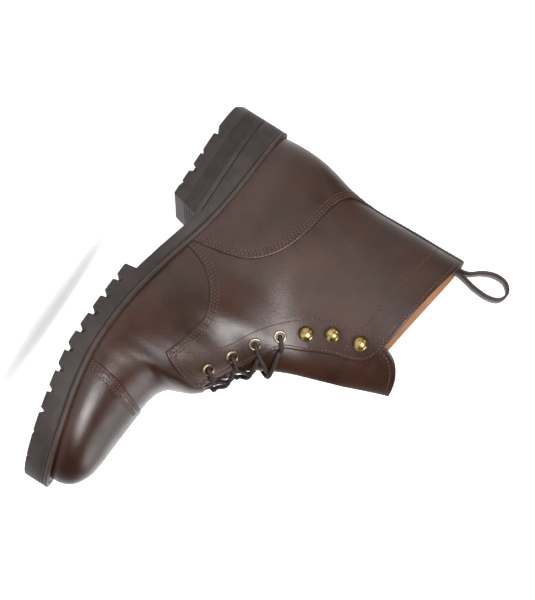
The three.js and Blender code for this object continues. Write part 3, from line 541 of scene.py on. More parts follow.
def bump(tree, shader, source, distance, strength, before=None):
    node = tree.nodes.new("ShaderNodeBump")
    node.inputs["Distance"].default_value = distance
    node.inputs["Strength"].default_value = strength
    tree.links.new(source, node.inputs["Height"])
    if before is not None:
        tree.links.new(before, node.inputs["Normal"])
    tree.links.new(node.outputs["Normal"], shader.inputs["Normal"])
    return node.outputs["Normal"]


def grey(value):
    return (value, value, value)


def leather(name, dark, light, shine=(0.3, 0.43), grain=0.26):
    """Smooth leather: a mottled colour, fine pebbled grain and uneven polish."""
    material, tree, shader = nodes_of(name)
    color = ramp(tree, noise(tree, 26, 4, 0.6), [(0.36, dark), (0.68, light)])
    tree.links.new(color, shader.inputs["Base Color"])
    polish = ramp(tree, noise(tree, 60, 5, 0.65), [(0.35, grey(shine[0])), (0.7, grey(shine[1]))])
    tree.links.new(polish, shader.inputs["Roughness"])
    shader.inputs["Specular IOR Level"].default_value = 0.34
    shader.inputs["Coat Weight"].default_value = 0.1
    shader.inputs["Coat Roughness"].default_value = 0.34
    pebbles = bump(tree, shader, cells(tree, 1150), 0.00022, grain)
    soft = bump(tree, shader, noise(tree, 420, 4, 0.6), 0.0003, grain, pebbles)
    bump(tree, shader, noise(tree, 55, 2), 0.0006, 0.12, soft)
    return material


def rubber(name, dark, light, roughness=0.55):
    """Ground rubber: fine streaks of the grinder and small specks."""
    material, tree, shader = nodes_of(name)
    color = ramp(tree, noise(tree, 90, 6, 0.7), [(0.3, dark), (0.75, light)])
    tree.links.new(color, shader.inputs["Base Color"])
    shader.inputs["Roughness"].default_value = roughness
    shader.inputs["Specular IOR Level"].default_value = 0.32
    fine = bump(tree, shader, noise(tree, 900, 3, 0.7), 0.0002, 0.35)
    bump(tree, shader, noise(tree, 140, 4, 0.6), 0.0004, 0.2, fine)
    return material


def metal(name, dark, light):
    material, tree, shader = nodes_of(name)
    color = ramp(tree, noise(tree, 340, 4, 0.6), [(0.38, dark), (0.62, light)])
    tree.links.new(color, shader.inputs["Base Color"])
    shader.inputs["Metallic"].default_value = 1
    polish = ramp(tree, noise(tree, 500, 3), [(0.35, grey(0.24)), (0.7, grey(0.42))])
    tree.links.new(polish, shader.inputs["Roughness"])
    bump(tree, shader, noise(tree, 900, 3), 0.0001, 0.12)
    return material


def cord_cloth(name, dark, light, grain=900):
    material, tree, shader = nodes_of(name)
    color = ramp(tree, noise(tree, grain, 3, 0.6), [(0.35, dark), (0.7, light)])
    tree.links.new(color, shader.inputs["Base Color"])
    shader.inputs["Roughness"].default_value = 0.62
    shader.inputs["Specular IOR Level"].default_value = 0.35
    bump(tree, shader, noise(tree, 1.6 * grain, 2), 0.0002, 0.5)
    return material


BROWN = leather("brown_leather", (0.017, 0.0056, 0.0026), (0.034, 0.0118, 0.006))
DARK_LEATHER = leather("dark_leather", (0.015, 0.008, 0.006), (0.028, 0.015, 0.011), (0.5, 0.65))
LINING = leather("lining_leather", (0.23, 0.1, 0.045), (0.36, 0.17, 0.08), (0.6, 0.75), 0.12)
RUBBER = rubber("sole_rubber", (0.012, 0.0078, 0.0072), (0.03, 0.0205, 0.0185))
WELT = rubber("welt_leather", (0.02, 0.012, 0.01), (0.042, 0.028, 0.022), 0.5)
THREAD = cord_cloth("thread", (0.06, 0.026, 0.019), (0.12, 0.056, 0.041))
# Near-black colour for the needle holes: painted shade of the recesses, not the leather's own colour.
HOLE_SHADE = cord_cloth("needle_hole_painted_shade", (0.006, 0.003, 0.002), (0.012, 0.006, 0.004))
LACE = cord_cloth("lace_cord", (0.009, 0.0045, 0.0035), (0.028, 0.015, 0.011), 1300)
BRASS = metal("antique_brass", (0.19, 0.13, 0.045), (0.43, 0.31, 0.125))
EYELET_BRASS = metal("eyelet_brass", (0.16, 0.12, 0.075), (0.4, 0.31, 0.2))


# The sole

def sole_loop(reach, stations=420):
    """The sole's edge in plan, grown from the featherline by reach(x); a closed loop."""
    turn = np.linspace(0, np.pi, stations + 1)
    xs = heel_back + (toe_tip - heel_back) * (1 - np.cos(turn)) / 2
    lateral = skin(xs, feather(xs), 1)
    medial = skin(xs, feather(xs), -1)
    loop = np.vstack([lateral, medial[-2:0:-1]])[:, :2]
    ahead = np.roll(loop, -1, axis=0) - np.roll(loop, 1, axis=0)
    out = np.stack([-ahead[:, 1], ahead[:, 0]], axis=1)
    out /= np.linalg.norm(out, axis=1)[:, None]
    return loop + out * reach(loop[:, 0])[:, None]


def margin(x):
    return margin_share(x / LENGTH) * BALL_MARGIN


def evened(loop, spacing=0.8):
    closed = np.vstack([loop, loop[:1]])
    return along(closed, spacing)[:-1]


SOLE = evened(sole_loop(margin))
midsole_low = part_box("midsole")[0]
SHIFT = np.array([midsole_low[0] * 1000 - SOLE[:, 0].min(), midsole_low[1] * 1000 - SOLE[:, 1].min(), 0])


def ringed(loop, rings, spine):
    """A closed form of rings inside a loop. A ring is (inset, height of x, y and arc), and an
    inset of None is the spine, the middle line between the x values given."""
    axis_x = np.clip(loop[:, 0], *spine)
    axis = np.stack([axis_x, centre(axis_x)], axis=1)
    toward = axis - loop
    reach = np.linalg.norm(toward, axis=1)
    toward /= reach[:, None]
    arc = np.concatenate([[0], np.cumsum(np.linalg.norm(np.diff(loop, axis=0), axis=1))])
    rows = []
    for inset, height in rings:
        away = reach if inset is None else np.minimum(inset, reach)
        p = loop + toward * away[:, None]
        z = height(p[:, 0], p[:, 1], arc) + np.zeros(len(p))
        rows.append(np.column_stack([p, z]))
    points = np.vstack(rows)
    count = len(loop)
    k = np.arange(count)
    after = (k + 1) % count
    faces = []
    for j in range(len(rows) - 1):
        lower, upper = j * count, (j + 1) * count
        faces.append(np.stack([lower + k, lower + after, upper + after, upper + k], axis=1))
    return points, np.vstack(faces)


def ground(x):
    return TOE_SPRING * np.maximum((x / LENGTH - 0.7) / 0.3, 0) ** 1.3


def arcs_at(loop, x):
    """Where along the loop it passes x, on its two sides."""
    arc = np.concatenate([[0], np.cumsum(np.linalg.norm(np.diff(loop, axis=0), axis=1))])
    half = int(loop[:, 0].argmax())
    first = np.interp(x, loop[: half + 1, 0], arc[: half + 1])
    second = np.interp(-x, -loop[half:, 0], arc[half:])
    return first, second


def notch_depth(loop, cuts):
    """Height of the notches' roofs over the tread, as a function of the arc.
    A cut is (x, width, depth)."""
    places = [(at, wide, deep) for x, wide, deep in cuts for at in arcs_at(loop, x)]

    def depth(arc):
        out = np.zeros(len(arc))
        for at, wide, deep in places:
            foot, root = wide / 2, wide / 3.4
            t = np.clip((foot - np.abs(arc - at)) / (foot - root), 0, 1)
            out = np.maximum(out, deep * t)
        return out

    return depth


LUG_START = 0.484 * LENGTH
LUG_PITCH = 15.2
NOTCH_RUN = 22.0
CHANNEL = (24.0, 28.0, 5.5)


def outsole():
    xs = 0.526 * LENGTH + LUG_PITCH * np.arange(10)
    fading = 1 - 0.55 * smoothstep(xs, 0.73 * LENGTH, 0.95 * LENGTH)
    notches = notch_depth(SOLE, [(x, 5 * f, 5.5 * f) for x, f in zip(xs, fading)])
    grooves = 0.53 * LENGTH + LUG_PITCH * (np.arange(7) + 0.5)

    def top(x, y, arc):
        return feather(x) - MIDSOLE_THICKNESS - 0.1

    def tread(x):
        waist = feather(x) - WAIST_THICKNESS
        lugs = smoothstep(x, LUG_START - 0.6, LUG_START + 1.2)
        seat = smoothstep(-x, -88.5, -87.5)
        flat = waist * (1 - lugs) + ground(x) * lugs
        return flat * (1 - seat) + (HEEL_BLOCK + 0.1) * seat

    def notched(x, y, arc):
        return tread(x) + notches(arc) * (x > LUG_START + 3)

    def plain(x, y, arc):
        return tread(x)

    def channel(x, y, arc):
        inside = (x > 0.53 * LENGTH) & (x < 0.88 * LENGTH)
        return tread(x) + CHANNEL[2] * inside

    def middle(x, y, arc):
        cut = (np.abs(x[:, None] - grooves) < 2).any(1)
        return tread(x) + CHANNEL[2] * cut

    def lower(height, by):
        return lambda x, y, arc: height(x, y, arc) + by

    rings = [
        (None, top), (0.5, top), (0, lower(top, -0.5)), (0.25, lower(top, -1.4)),
        (0, lower(top, -2.2)), (0, lower(notched, 0.7)), (0.6, notched), (NOTCH_RUN, notched),
        (NOTCH_RUN + 0.3, plain), (CHANNEL[0], plain), (CHANNEL[0] + 0.3, channel),
        (CHANNEL[1], channel), (CHANNEL[1] + 0.3, middle), (CHANNEL[1] + 8, middle), (None, middle),
    ]
    points, faces = ringed(SOLE, rings, (32, 262))
    piece = mesh_object("sole_rubber", points, faces[:, ::-1], RUBBER, smooth=False)
    soften(piece, 40)
    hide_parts("outsole")


def soften(obj, degrees=35):
    """Smooth shading across shallow edges, sharp ones kept."""
    obj.data.polygons.foreach_set("use_smooth", [True] * len(obj.data.polygons))
    obj.data.set_sharp_from_angle(angle=math.radians(degrees))


def midsole():
    def level(share, by=0.0):
        return lambda x, y, arc: feather(x) - share * MIDSOLE_THICKNESS + by

    rings = [
        (None, level(0)), (0.9, level(0)), (0.25, level(0.08)), (0, level(0.28)),
        (0, level(0.8)), (0.3, level(0.97)), (None, level(1)),
    ]
    points, faces = ringed(SOLE, rings, (32, 262))
    piece = mesh_object("welt", points, faces[:, ::-1], WELT)
    soften(piece, 50)
    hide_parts("midsole")


def heel():
    front = 0.286 * LENGTH
    lean = 0.018 * LENGTH
    keep = SOLE[SOLE[:, 0] < front]
    lateral = keep[keep[:, 1] > centre(keep[:, 0])]
    medial = keep[keep[:, 1] <= centre(keep[:, 0])]
    lateral = lateral[np.argsort(lateral[:, 0])]
    medial = medial[np.argsort(-medial[:, 0])]
    bar = np.linspace(lateral[-1], medial[0], 60)[1:-1]
    loop = np.vstack([lateral, bar, medial])
    cuts = [(0.107, 6, 4.5), (0.169, 3.3, 2.5), (0.214, 5.4, 4), (0.258, 3.3, 2.5)]
    notches = notch_depth(loop, [(a * LENGTH, wide, deep) for a, wide, deep in cuts])

    def at(height, by=0.0):
        return lambda x, y, arc: height + by

    def foot(x, y, arc):
        return np.maximum(0, (7.7 - x) * 0.53)

    def notched(x, y, arc):
        return foot(x, y, arc) + notches(arc)

    def edge(x, y, arc):
        return notched(x, y, arc) + 0.7

    def channel(x, y, arc):
        return foot(x, y, arc) + 4.0

    ribs = []
    for i in range(6):
        z = 19.5 - 1.75 * i
        ribs += [(0, at(z)), (0.4, at(z - 0.3)), (0.4, at(z - 0.75)), (0, at(z - 1.05))]
    rings = [(None, at(HEEL_BLOCK)), (0.4, at(HEEL_BLOCK)), (0, at(HEEL_BLOCK - 0.5)), *ribs]
    rings += [
        (0, edge), (0.6, notched), (17.5, notched), (17.8, foot), (20, foot), (20.3, channel),
        (23.2, channel), (23.5, foot), (None, foot),
    ]
    points, faces = ringed(loop, rings, (32, front - 30))
    weight = smoothstep(points[:, 0], front - 8, front)
    points[:, 0] += lean * points[:, 2] / HEEL_BLOCK * weight
    piece = mesh_object("heel_block", points, faces[:, ::-1], RUBBER, smooth=False)
    soften(piece, 40)
    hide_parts("heel")


def insole():
    loop = evened(sole_loop(lambda x: np.full(len(x), -INSOLE_INSET)), 2.0)

    def level(by):
        return lambda x, y, arc: feather(x) + GAP + by

    rings = [(None, level(INSOLE_THICKNESS)), (0.8, level(INSOLE_THICKNESS)),
             (0, level(INSOLE_THICKNESS - 0.8)), (0, level(0)), (None, level(0))]
    points, faces = ringed(loop, rings, (36, 255))
    piece = mesh_object("insole_board", points, faces[:, ::-1], LINING)
    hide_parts("insole")


# The upper

table, grid_faces = last_grid()
opening = inside_by(np.vstack([side_line(OPENING), straight(OPENING_EXIT)]))
in_quarter = inside_by(np.vstack([side_line(QUARTER), side_line(TAB)[1:], straight(QUARTER_EXIT)]))
in_counter = inside_by(np.vstack([side_line(COUNTER), straight(COUNTER_EXIT)]))
in_cap = inside_by(np.vstack([side_line(CAP), straight(CAP_EXIT)]))
in_tongue = inside_by(np.vstack([side_line(TONGUE), straight(TONGUE_EXIT)]))
EDGE = 1.2
CAP_LIFT = 0.8
COUNTER_LIFT = 1.1
LOOPS = (0.0, 0.12, 0.4, 0.75, 1.25)


def below_opening(x, z):
    return -opening(x, z)


def behind(place):
    return lambda x, z: place - x


def ahead_of(place):
    return lambda x, z: x - place


def panel(name, fields, height, material, inward=False, edges=None):
    """A sheet of leather over the last: where it lies, and its height over the last."""
    part, faces = trimmed(table, grid_faces, fields, LOOPS if edges is None else edges)
    x, z = part[:, 0], part[:, 2]
    normal = part[:, 3:6] / np.linalg.norm(part[:, 3:6], axis=1)[:, None]
    points = part[:, :3] + normal * height(x, z)[:, None]
    piece = mesh_object(name, points, faces[:, ::-1] if inward else faces, material)
    return piece


def mid_wall(x, z, lift):
    return (lift + cavity_growth(x, z)) / 2


def free_edge(x, z, high):
    """Height of the outer face, rounded down to the wall's middle at the opening."""
    middle = mid_wall(x, z, high)
    return middle + (high - middle) * roll(below_opening(x, z), EDGE)


def vamp_height(x, z):
    return free_edge(x, z, 0.0)


def quarter_height(x, z):
    edge = in_quarter(x, z)
    lift = QUARTER_STEP * np.ones(len(x))
    for at in (1.7, 3.6, 5.9):
        lift += seam_dip(edge, at, 0.16, 0.6)
    lift += seam_dip(below_opening(x, z), 2.6, 0.2, 0.7)
    high = free_edge(x, z, lift)
    return -0.2 + (high + 0.2) * roll(edge, EDGE)


def counter_height(x, z):
    edge = in_counter(x, z)
    lift = QUARTER_STEP + COUNTER_LIFT * np.ones(len(x))
    for at in (1.7, 3.6, 5.9):
        lift += seam_dip(edge, at, 0.16, 0.6)
    high = free_edge(x, z, lift)
    return QUARTER_STEP - 0.2 + (high - QUARTER_STEP + 0.2) * roll(edge, EDGE)


def cap_height(x, z):
    edge = in_cap(x, z)
    lift = CAP_LIFT * np.ones(len(x))
    for at in (1.5, 3.2, 5.8, 7.5):
        lift += seam_dip(edge, at, 0.16, 0.6)
    return -0.2 + (lift + 0.2) * roll(edge, EDGE)


def lining_height(x, z):
    inner = cavity_growth(x, z)
    middle = mid_wall(x, z, np.where(x < 0.4 * LENGTH, QUARTER_STEP, 0.0))
    return middle + (inner - middle) * roll(below_opening(x, z), EDGE)


def tongue_faces(outer):
    def height(x, z):
        top = cavity_growth(x, z) - GAP
        middle = top - TONGUE_WALL / 2
        edge = roll(in_tongue(x, z), 1.0)
        rim = seam_dip(in_tongue(x, z), 4.0, 0.2, 0.7)
        return middle + (TONGUE_WALL / 2 * edge + rim * (in_tongue(x, z) > 1)) * (1 if outer else -1)

    return height


def upper():
    pieces = [
        panel("vamp", [below_opening, ahead_of(0.33 * LENGTH), behind(0.78 * LENGTH)],
              vamp_height, BROWN),
        panel("quarters", [below_opening, in_quarter], quarter_height, BROWN),
        panel("lining", [below_opening, behind(0.8 * LENGTH)], lining_height, LINING,
              inward=True),
    ]
    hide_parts("upper")
    cap = panel("toe_cap_leather", [in_cap], cap_height, BROWN)
    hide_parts("toe_cap")
    counter = panel("counter_leather", [below_opening, in_counter], counter_height, BROWN)
    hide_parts("heel_counter")
    front = panel("tongue_front", [in_tongue], tongue_faces(True), BROWN)
    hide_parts("tongue")
    panel("tongue_back", [in_tongue], tongue_faces(False), LINING, inward=True)


# Stitches

PITCH = 2.7


def stitches(name, rows, thread=True):
    """Rows of stitches: a row is a 3-D path with its normals. Each stitch is a small capsule,
    with a flat near-black capsule after it: painted shade of the needle hole."""
    thread_points, hole_shade_points = [], []
    for path, normals in rows:
        run = np.concatenate([[0], np.cumsum(np.linalg.norm(np.diff(path, axis=0), axis=1))])
        count = max(int(run[-1] / PITCH), 1)
        at = (np.arange(count) + 0.5) * run[-1] / count
        place = np.stack([np.interp(at, run, path[:, i]) for i in range(3)], axis=1)
        normal = np.stack([np.interp(at, run, normals[:, i]) for i in range(3)], axis=1)
        normal /= np.linalg.norm(normal, axis=1)[:, None]
        before = np.stack([np.interp(at - 0.5, run, path[:, i]) for i in range(3)], axis=1)
        after = np.stack([np.interp(at + 0.5, run, path[:, i]) for i in range(3)], axis=1)
        tangent = after - before
        tangent /= np.linalg.norm(tangent, axis=1)[:, None]
        across = np.cross(normal, tangent)
        thread_points.append(capsules(place, tangent, across, normal, (0.95, 0.42, 0.32)))
        # A flat near-black capsule after each stitch stands for the needle hole: painted shade, not a cut.
        hole = place + tangent * PITCH / 2 - normal * 0.08
        hole_shade_points.append(capsules(hole, tangent, across, normal, (0.5, 0.5, 0.2)))
    for suffix, groups, material in (("", thread_points, THREAD), ("_hole_shade", hole_shade_points, HOLE_SHADE)):
        points = np.vstack(groups)
        obj = mesh_object(name + suffix, points, capsule_faces(len(points) // CAPSULE), material)


RING = 6
CAPSULE = 3 * RING + 2


def capsules(place, tangent, across, normal, size):
    """Small rounded bars, one for each place: half length, half width, half height."""
    turn = np.arange(RING) * 2 * np.pi / RING
    shape = [(-1.0, 0.0, 0.0)]
    for end, full in ((-0.8, 0.62), (0.0, 1.0), (0.8, 0.62)):
        shape += [(end, full * math.cos(t), full * math.sin(t)) for t in turn]
    shape.append((1.0, 0.0, 0.0))
    shape = np.array(shape) * size
    axes = np.stack([tangent, across, normal], axis=1)
    return (place[:, None, :] + np.einsum("ki,nij->nkj", shape, axes)).reshape(-1, 3)


def capsule_faces(count):
    faces = []
    last = CAPSULE - 1
    for k in range(RING):
        after = (k + 1) % RING
        faces.append((0, 1 + after, 1 + k))
        for ring in range(2):
            a = 1 + ring * RING
            faces += [(a + k, a + after, a + RING + after), (a + k, a + RING + after, a + RING + k)]
        top = 1 + 2 * RING
        faces.append((last, top + k, top + after))
    faces = np.array(faces)
    return (faces[None] + CAPSULE * np.arange(count)[:, None, None]).reshape(-1, 3)


def rows_on(line, lift, sides=(-1, 1), keep=None):
    """A side-view line on the leather of each side, ready for stitches."""
    dense = along(line, 0.6)
    x, z = dense[:, 0], dense[:, 1]
    good = (z > feather(x) + 0.6) & (z < ridge_height(x) - 0.25)
    good &= x > np.interp(z, back_line[:, 1], back_line[:, 0]) + 0.25
    if keep is not None:
        good &= keep(x, z)
    x, z = x[good], z[good]
    out = []
    for sign in sides:
        normal = outward(x, z, sign)
        out.append((skin(x, z, sign) + normal * (lift + 0.02), normal))
    return out


def all_stitches():
    quarter, tab = side_line(QUARTER), side_line(TAB)
    edge_rows = []
    for away in (1.7, 3.6, 5.9):
        inner = shifted(quarter, away)
        edge_rows += rows_on(inner[inner[:, 0] < 0.6 * LENGTH], QUARTER_STEP)
    for away in (2.0, 4.2):
        edge_rows += rows_on(shifted(tab, away), QUARTER_STEP)
    stitches("stitch_quarter", edge_rows)
    collar = side_line(OPENING)
    outer = shifted(collar, -2.6)
    stitches("stitch_opening", rows_on(outer, QUARTER_STEP, keep=lambda x, z: in_counter(x, z) < -0.8))
    facing = rows_on(side_line(FACING_SEAM), QUARTER_STEP)
    box = straight([(0.578, 0.352), (0.592, 0.318), (0.607, 0.33), (0.594, 0.366), (0.578, 0.352)])
    facing += rows_on(box, QUARTER_STEP)
    band = rows_on(side_line(COLLAR_SEAM), QUARTER_STEP, keep=lambda x, z: in_counter(x, z) < -0.8)
    stitches("stitch_facing", facing + band)
    counter_rows = []
    for away in (1.7, 3.6, 5.9):
        line = shifted(side_line(COUNTER), away)
        counter_rows += rows_on(line, QUARTER_STEP + COUNTER_LIFT,
                                keep=lambda x, z: below_opening(x, z) > 2)
    stitches("stitch_counter", counter_rows)
    cap_rows = []
    for away in (1.5, 3.2, 5.8, 7.5):
        cap_rows += rows_on(shifted(side_line(CAP), -away), CAP_LIFT)
    stitches("stitch_cap", cap_rows)
    rim = shifted(side_line(TONGUE), -4.0)
    growth = cavity_growth(0.36 * LENGTH, 0.9 * HEIGHT) - GAP
    high = rim[rim[:, 1] > 0.75 * HEIGHT]
    stitches("stitch_tongue", rows_on(high, growth))
    welt = evened(sole_loop(lambda x: 0.55 * margin(x)), 1.0)
    welt = np.vstack([welt, welt[:1]])
    path = np.column_stack([welt, feather(welt[:, 0]) + 0.1])
    stitches("stitch_welt", [(path, np.tile((0.0, 0.0, 1.0), (len(path), 1)))])


# Fittings

def turned(profile, sides=36):
    """Points and faces of a closed profile (radius, height) turned about Y."""
    profile = np.array(profile, float)
    turn = np.arange(sides) * 2 * np.pi / sides
    points = np.stack([
        profile[:, 0, None] * np.cos(turn), np.tile(profile[:, 1, None], (1, sides)),
        profile[:, 0, None] * np.sin(turn),
    ], axis=-1).reshape(-1, 3)
    faces = []
    for j in range(len(profile) - 1):
        for k in range(sides):
            after = (k + 1) % sides
            faces.append((j * sides + k, (j + 1) * sides + k, (j + 1) * sides + after, j * sides + after))
    return points, faces


def arc(cx, cy, rx, ry, start, end, steps=8):
    turn = np.radians(np.linspace(start, end, steps))
    return [(cx + rx * math.cos(t), cy + ry * math.sin(t)) for t in turn]


EYELET_PROFILE = [(2.75, -1.2), (3.1, -1.2), (3.1, 0.1), (4.55, 0.1), *arc(3.72, 0.35, 0.97, 1.2, 0, 180, 12),
                  (2.75, -1.2)]
HOOK_PROFILE = [(0, 0.1), (3.4, 0.1), (3.4, 0.7), (3.0, 1.0), (1.7, 1.2), (1.5, 1.6), (1.5, 2.6),
                (4.2, 2.75), *arc(0, 3.6, 5.25, 4.1, -10, 90, 16)]


def placed(points, row, sign, turn=0.0):
    """Points modelled about Y set on the quarter's face at a row of the side view."""
    x, z = row[0] * LENGTH, row[1] * HEIGHT
    normal = Vector(outward(x, z, sign))
    spin = Matrix.Rotation(turn, 3, "Y")
    frame_turn = Vector((0, 1, 0)).rotation_difference(normal).to_matrix() @ spin
    return np.array(points) @ np.array(frame_turn).T + over_skin(x, z, sign, QUARTER_STEP)


def fittings():
    for name, rows, profile, material in (
        ("eyelet", EYELETS, EYELET_PROFILE, EYELET_BRASS),
        ("hook", HOOKS, HOOK_PROFILE, BRASS),
    ):
        points, faces = turned(profile)
        for side, sign in SIDES.items():
            for i, row in enumerate(rows):
                node = f"{name}_{side}_{i + 1}"
                obj = mesh_object(f"{name}_brass_{side}_{i + 1}", placed(points, row, sign), faces, material)
                soften(obj, 50)
                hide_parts(node)


LACE_RADIUS = 1.6


def tube(path, radius, sides=12, twist=0.0):
    tangent = np.gradient(path, axis=0)
    tangent /= np.linalg.norm(tangent, axis=1)[:, None]
    normal = np.cross(tangent[0], (0.0, 0.0, 1.0))
    points = []
    for i, (place, direction) in enumerate(zip(path, tangent)):
        normal = normal - direction * normal.dot(direction)
        normal /= np.linalg.norm(normal)
        other = np.cross(direction, normal)
        turn = np.arange(sides) * 2 * np.pi / sides + twist * i
        ring = radius * (1 + 0.07 * np.cos(3 * turn + 0.9 * i))
        points.append(place + (normal * np.cos(turn)[:, None] + other * np.sin(turn)[:, None]) * ring[:, None])
    count = len(path)
    faces = []
    for j in range(count - 1):
        for k in range(sides):
            after = (k + 1) % sides
            faces.append((j * sides + k, (j + 1) * sides + k, (j + 1) * sides + after, j * sides + after))
    faces.append(tuple(range(sides)))
    faces.append(tuple(reversed(range((count - 1) * sides, count * sides))))
    return np.vstack(points), faces


def crossing(low, high, sign, bow):
    """The lace from up through one eyelet, over its facing and the tongue, to under the
    opposite facing and the next eyelet."""
    start = np.array(low) * (LENGTH, HEIGHT)
    end = np.array(high) * (LENGTH, HEIGHT)
    edge = side_line(OPENING)
    near = edge[np.linalg.norm(edge - start, axis=1).argmin()]
    far = edge[np.linalg.norm(edge - end, axis=1).argmin()]
    middle = (near + far) / 2
    ridge = front_line[np.linalg.norm(front_line - middle, axis=1).argmin()]
    over_edge = near * 0.75 + ridge * 0.25
    under_edge = far * 0.75 + ridge * 0.25
    return [
        over_skin(*start, sign, -2.4),
        over_skin(*start, sign, 1.2),
        over_skin(*(start * 0.75 + near * 0.25), sign, QUARTER_STEP + 2.2),
        over_skin(*near, sign, QUARTER_STEP + LACE_RADIUS + 0.3),
        over_skin(*over_edge, sign, LACE_RADIUS + 0.3),
        skin(*ridge, 0.0) + np.array([0.9, 0, 0.5]) * (LACE_RADIUS + bow),
        over_skin(*under_edge, -sign, 0.3),
        over_skin(*far, -sign, -1.6),
        over_skin(*end, -sign, -3.0),
    ]


def laces():
    first = np.array(EYELETS[0])
    bar_edge = np.array((0.6, 0.472)) * (LENGTH, HEIGHT)
    for sign in (-1, 1):
        route = [skin(0.622 * LENGTH, 0.448 * HEIGHT, 0.0) - np.array([2.2, 0, 2.0]),
                 over_skin(*bar_edge, sign, -1.2), over_skin(*(first * (LENGTH, HEIGHT)), sign, -3.0)]
        side = sign
        for i in range(3):
            bow = 0.9 if side > 0 else -1.4
            route += crossing(EYELETS[i], EYELETS[i + 1], side, bow)
            side = -side
        top = np.array(EYELETS[3]) * (LENGTH, HEIGHT)
        route += [over_skin(*top, side, -2.2), over_skin(*top, side, 1.3)]
        edge = side_line(OPENING)
        near = edge[np.linalg.norm(edge - top, axis=1).argmin()]
        route += [over_skin(*(top * 0.6 + near * 0.4), side, QUARTER_STEP + 2.2),
                  over_skin(*near, side, QUARTER_STEP + 1.2), over_skin(*(near + (2.5, 0.5)), side, -1.2)]
        points, faces = tube(along(flow(route, 10), 0.55), LACE_RADIUS)
        obj = mesh_object(f"lace_{'lateral' if sign > 0 else 'medial'}", points, faces, LACE)
        if sign < 0:
            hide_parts("lace")


STRAP = {"wide": 13.0, "thick": 1.8}


def pull_loop():
    inner = float(np.interp(HEIGHT, back_line[:, 1], back_line[:, 0])) + VAMP_WALL - LINING_STEP
    leg = inner + 0.2 * STRAP["wide"] + GAP + STRAP["thick"] / 2
    apart = -STRAP["thick"] - GAP
    profile = [
        (0, -16), (0, -1), (1.6, 6), (7.5, 14), (11, 23), (10, 32), (4, 37), (-2.8, 34.5), (-5.6, 27),
        (-5.2, 15), (-3.2, 6), (apart, -1), (apart, -16),
    ]
    line = along(flow([(leg - back, HEIGHT + rise) for back, rise in profile], 14), 0.9)
    tangent = np.gradient(line, axis=0)
    tangent /= np.linalg.norm(tangent, axis=1)[:, None]
    normal = np.stack([-tangent[:, 1], tangent[:, 0]], axis=1)
    half, thick = STRAP["wide"] / 2, STRAP["thick"] / 2
    ring = [(-half + 0.5, -thick), (half - 0.5, -thick), (half, -thick + 0.5), (half, thick - 0.5),
            (half - 0.5, thick), (-half + 0.5, thick), (-half, thick - 0.5), (-half, -thick + 0.5)]
    points = []
    for place, out in zip(line, normal):
        for y, lift in ring:
            points.append((place[0] + out[0] * lift, y + 0.0, place[1] + out[1] * lift))
    sides, count = len(ring), len(line)
    faces = []
    for j in range(count - 1):
        for k in range(sides):
            after = (k + 1) % sides
            faces.append((j * sides + k, (j + 1) * sides + k, (j + 1) * sides + after, j * sides + after))
    faces.append(tuple(range(sides)))
    faces.append(tuple(reversed(range((count - 1) * sides, count * sides))))
    obj = mesh_object("pull_strap", points, faces, DARK_LEATHER)
    soften(obj, 60)
    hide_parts("pull_loop")


outsole()
midsole()
heel()
insole()
upper()
all_stitches()
fittings()
laces()
pull_loop()


# Floor, light and camera

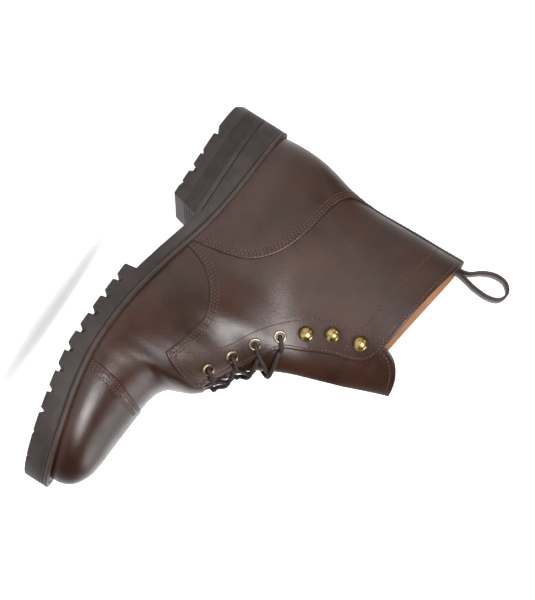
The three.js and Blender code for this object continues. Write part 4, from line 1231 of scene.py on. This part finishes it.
def backdrop():
    """A pale floor that runs up behind the boot."""
    profile = [(-9.0, 0.0), (3.0, 0.0), (4.2, 0.1), (5.0, 0.6), (5.4, 1.6), (5.5, 6.0)]
    line = flow(profile, 8)
    points = [(x, y, z) for y, z in line for x in (-12.0, 12.0)]
    faces = [(2 * i, 2 * i + 1, 2 * i + 3, 2 * i + 2) for i in range(len(line) - 1)]
    mesh = bpy.data.meshes.new("floor")
    mesh.from_pydata(points, [], faces)
    material, tree, shader = nodes_of("pale_floor")
    color = ramp(tree, noise(tree, 3, 2), [(0.3, grey(0.86)), (0.7, grey(0.9))])
    tree.links.new(color, shader.inputs["Base Color"])
    shader.inputs["Roughness"].default_value = 0.9
    shader.inputs["Emission Color"].default_value = (1, 1, 1, 1)
    shader.inputs["Emission Strength"].default_value = 0.35
    mesh.materials.append(material)
    floor = bpy.data.objects.new("floor", mesh)
    bpy.context.scene.collection.objects.link(floor)


def area_light(name, place, target, size, power):
    data = bpy.data.lights.new(name, "AREA")
    data.shape = "DISK"
    data.size = size
    data.energy = power
    obj = bpy.data.objects.new(name, data)
    obj.location = place
    obj.rotation_euler = (Vector(target) - Vector(place)).to_track_quat("-Z", "Y").to_euler()
    bpy.context.scene.collection.objects.link(obj)


def lights():
    world = bpy.data.worlds.new("studio")
    world.use_nodes = True
    world.node_tree.nodes["Background"].inputs["Color"].default_value = (1, 1, 1, 1)
    world.node_tree.nodes["Background"].inputs["Strength"].default_value = 0.07
    bpy.context.scene.world = world
    area_light("key", (0.3, -1.35, 0.78), (0, 0, 0.08), 0.75, 34)
    area_light("fill", (-1.6, -1.0, 0.9), (0, 0, 0.1), 0.7, 9)
    area_light("top", (0.3, 0.3, 1.9), (0, 0, 0.05), 1.2, 18)
    area_light("wall", (0.0, 2.2, 3.4), (0, 5.0, 1.4), 3.0, 260)


# The photograph's camera: looking at the medial side, rolled so that the toe points down left
CAMERA_AT = Vector((0.2274, -1.3851, 0.2160))
CAMERA_BACK = Vector((0.1391, -0.9897, 0.0349))
CAMERA_LEVEL = Vector((0.9903, 0.1392, 0.0))
CAMERA_RISE = Vector((-0.0049, 0.0346, 0.9994))
ROLL = (-0.536, 0.844)
AIM = Vector((-0.043, 0.0, 0.094))
LENS = 119


def camera():
    data = bpy.data.cameras.new("camera")
    obj = bpy.data.objects.new("camera", data)
    bpy.context.scene.collection.objects.link(obj)
    data.lens = LENS
    data.sensor_fit = "AUTO"
    data.sensor_width = 36
    data.clip_end = 50
    back = (CAMERA_AT - AIM).normalized()
    right = ROLL[0] * CAMERA_LEVEL + ROLL[1] * CAMERA_RISE
    right = (right - back * right.dot(back)).normalized()
    up = back.cross(right)
    turn = Matrix((right, up, back)).transposed()
    obj.matrix_world = Matrix.Translation(CAMERA_AT) @ turn.to_4x4()
    bpy.context.scene.camera = obj


backdrop()
lights()
camera()
bpy.context.scene.view_settings.view_transform = "Standard"
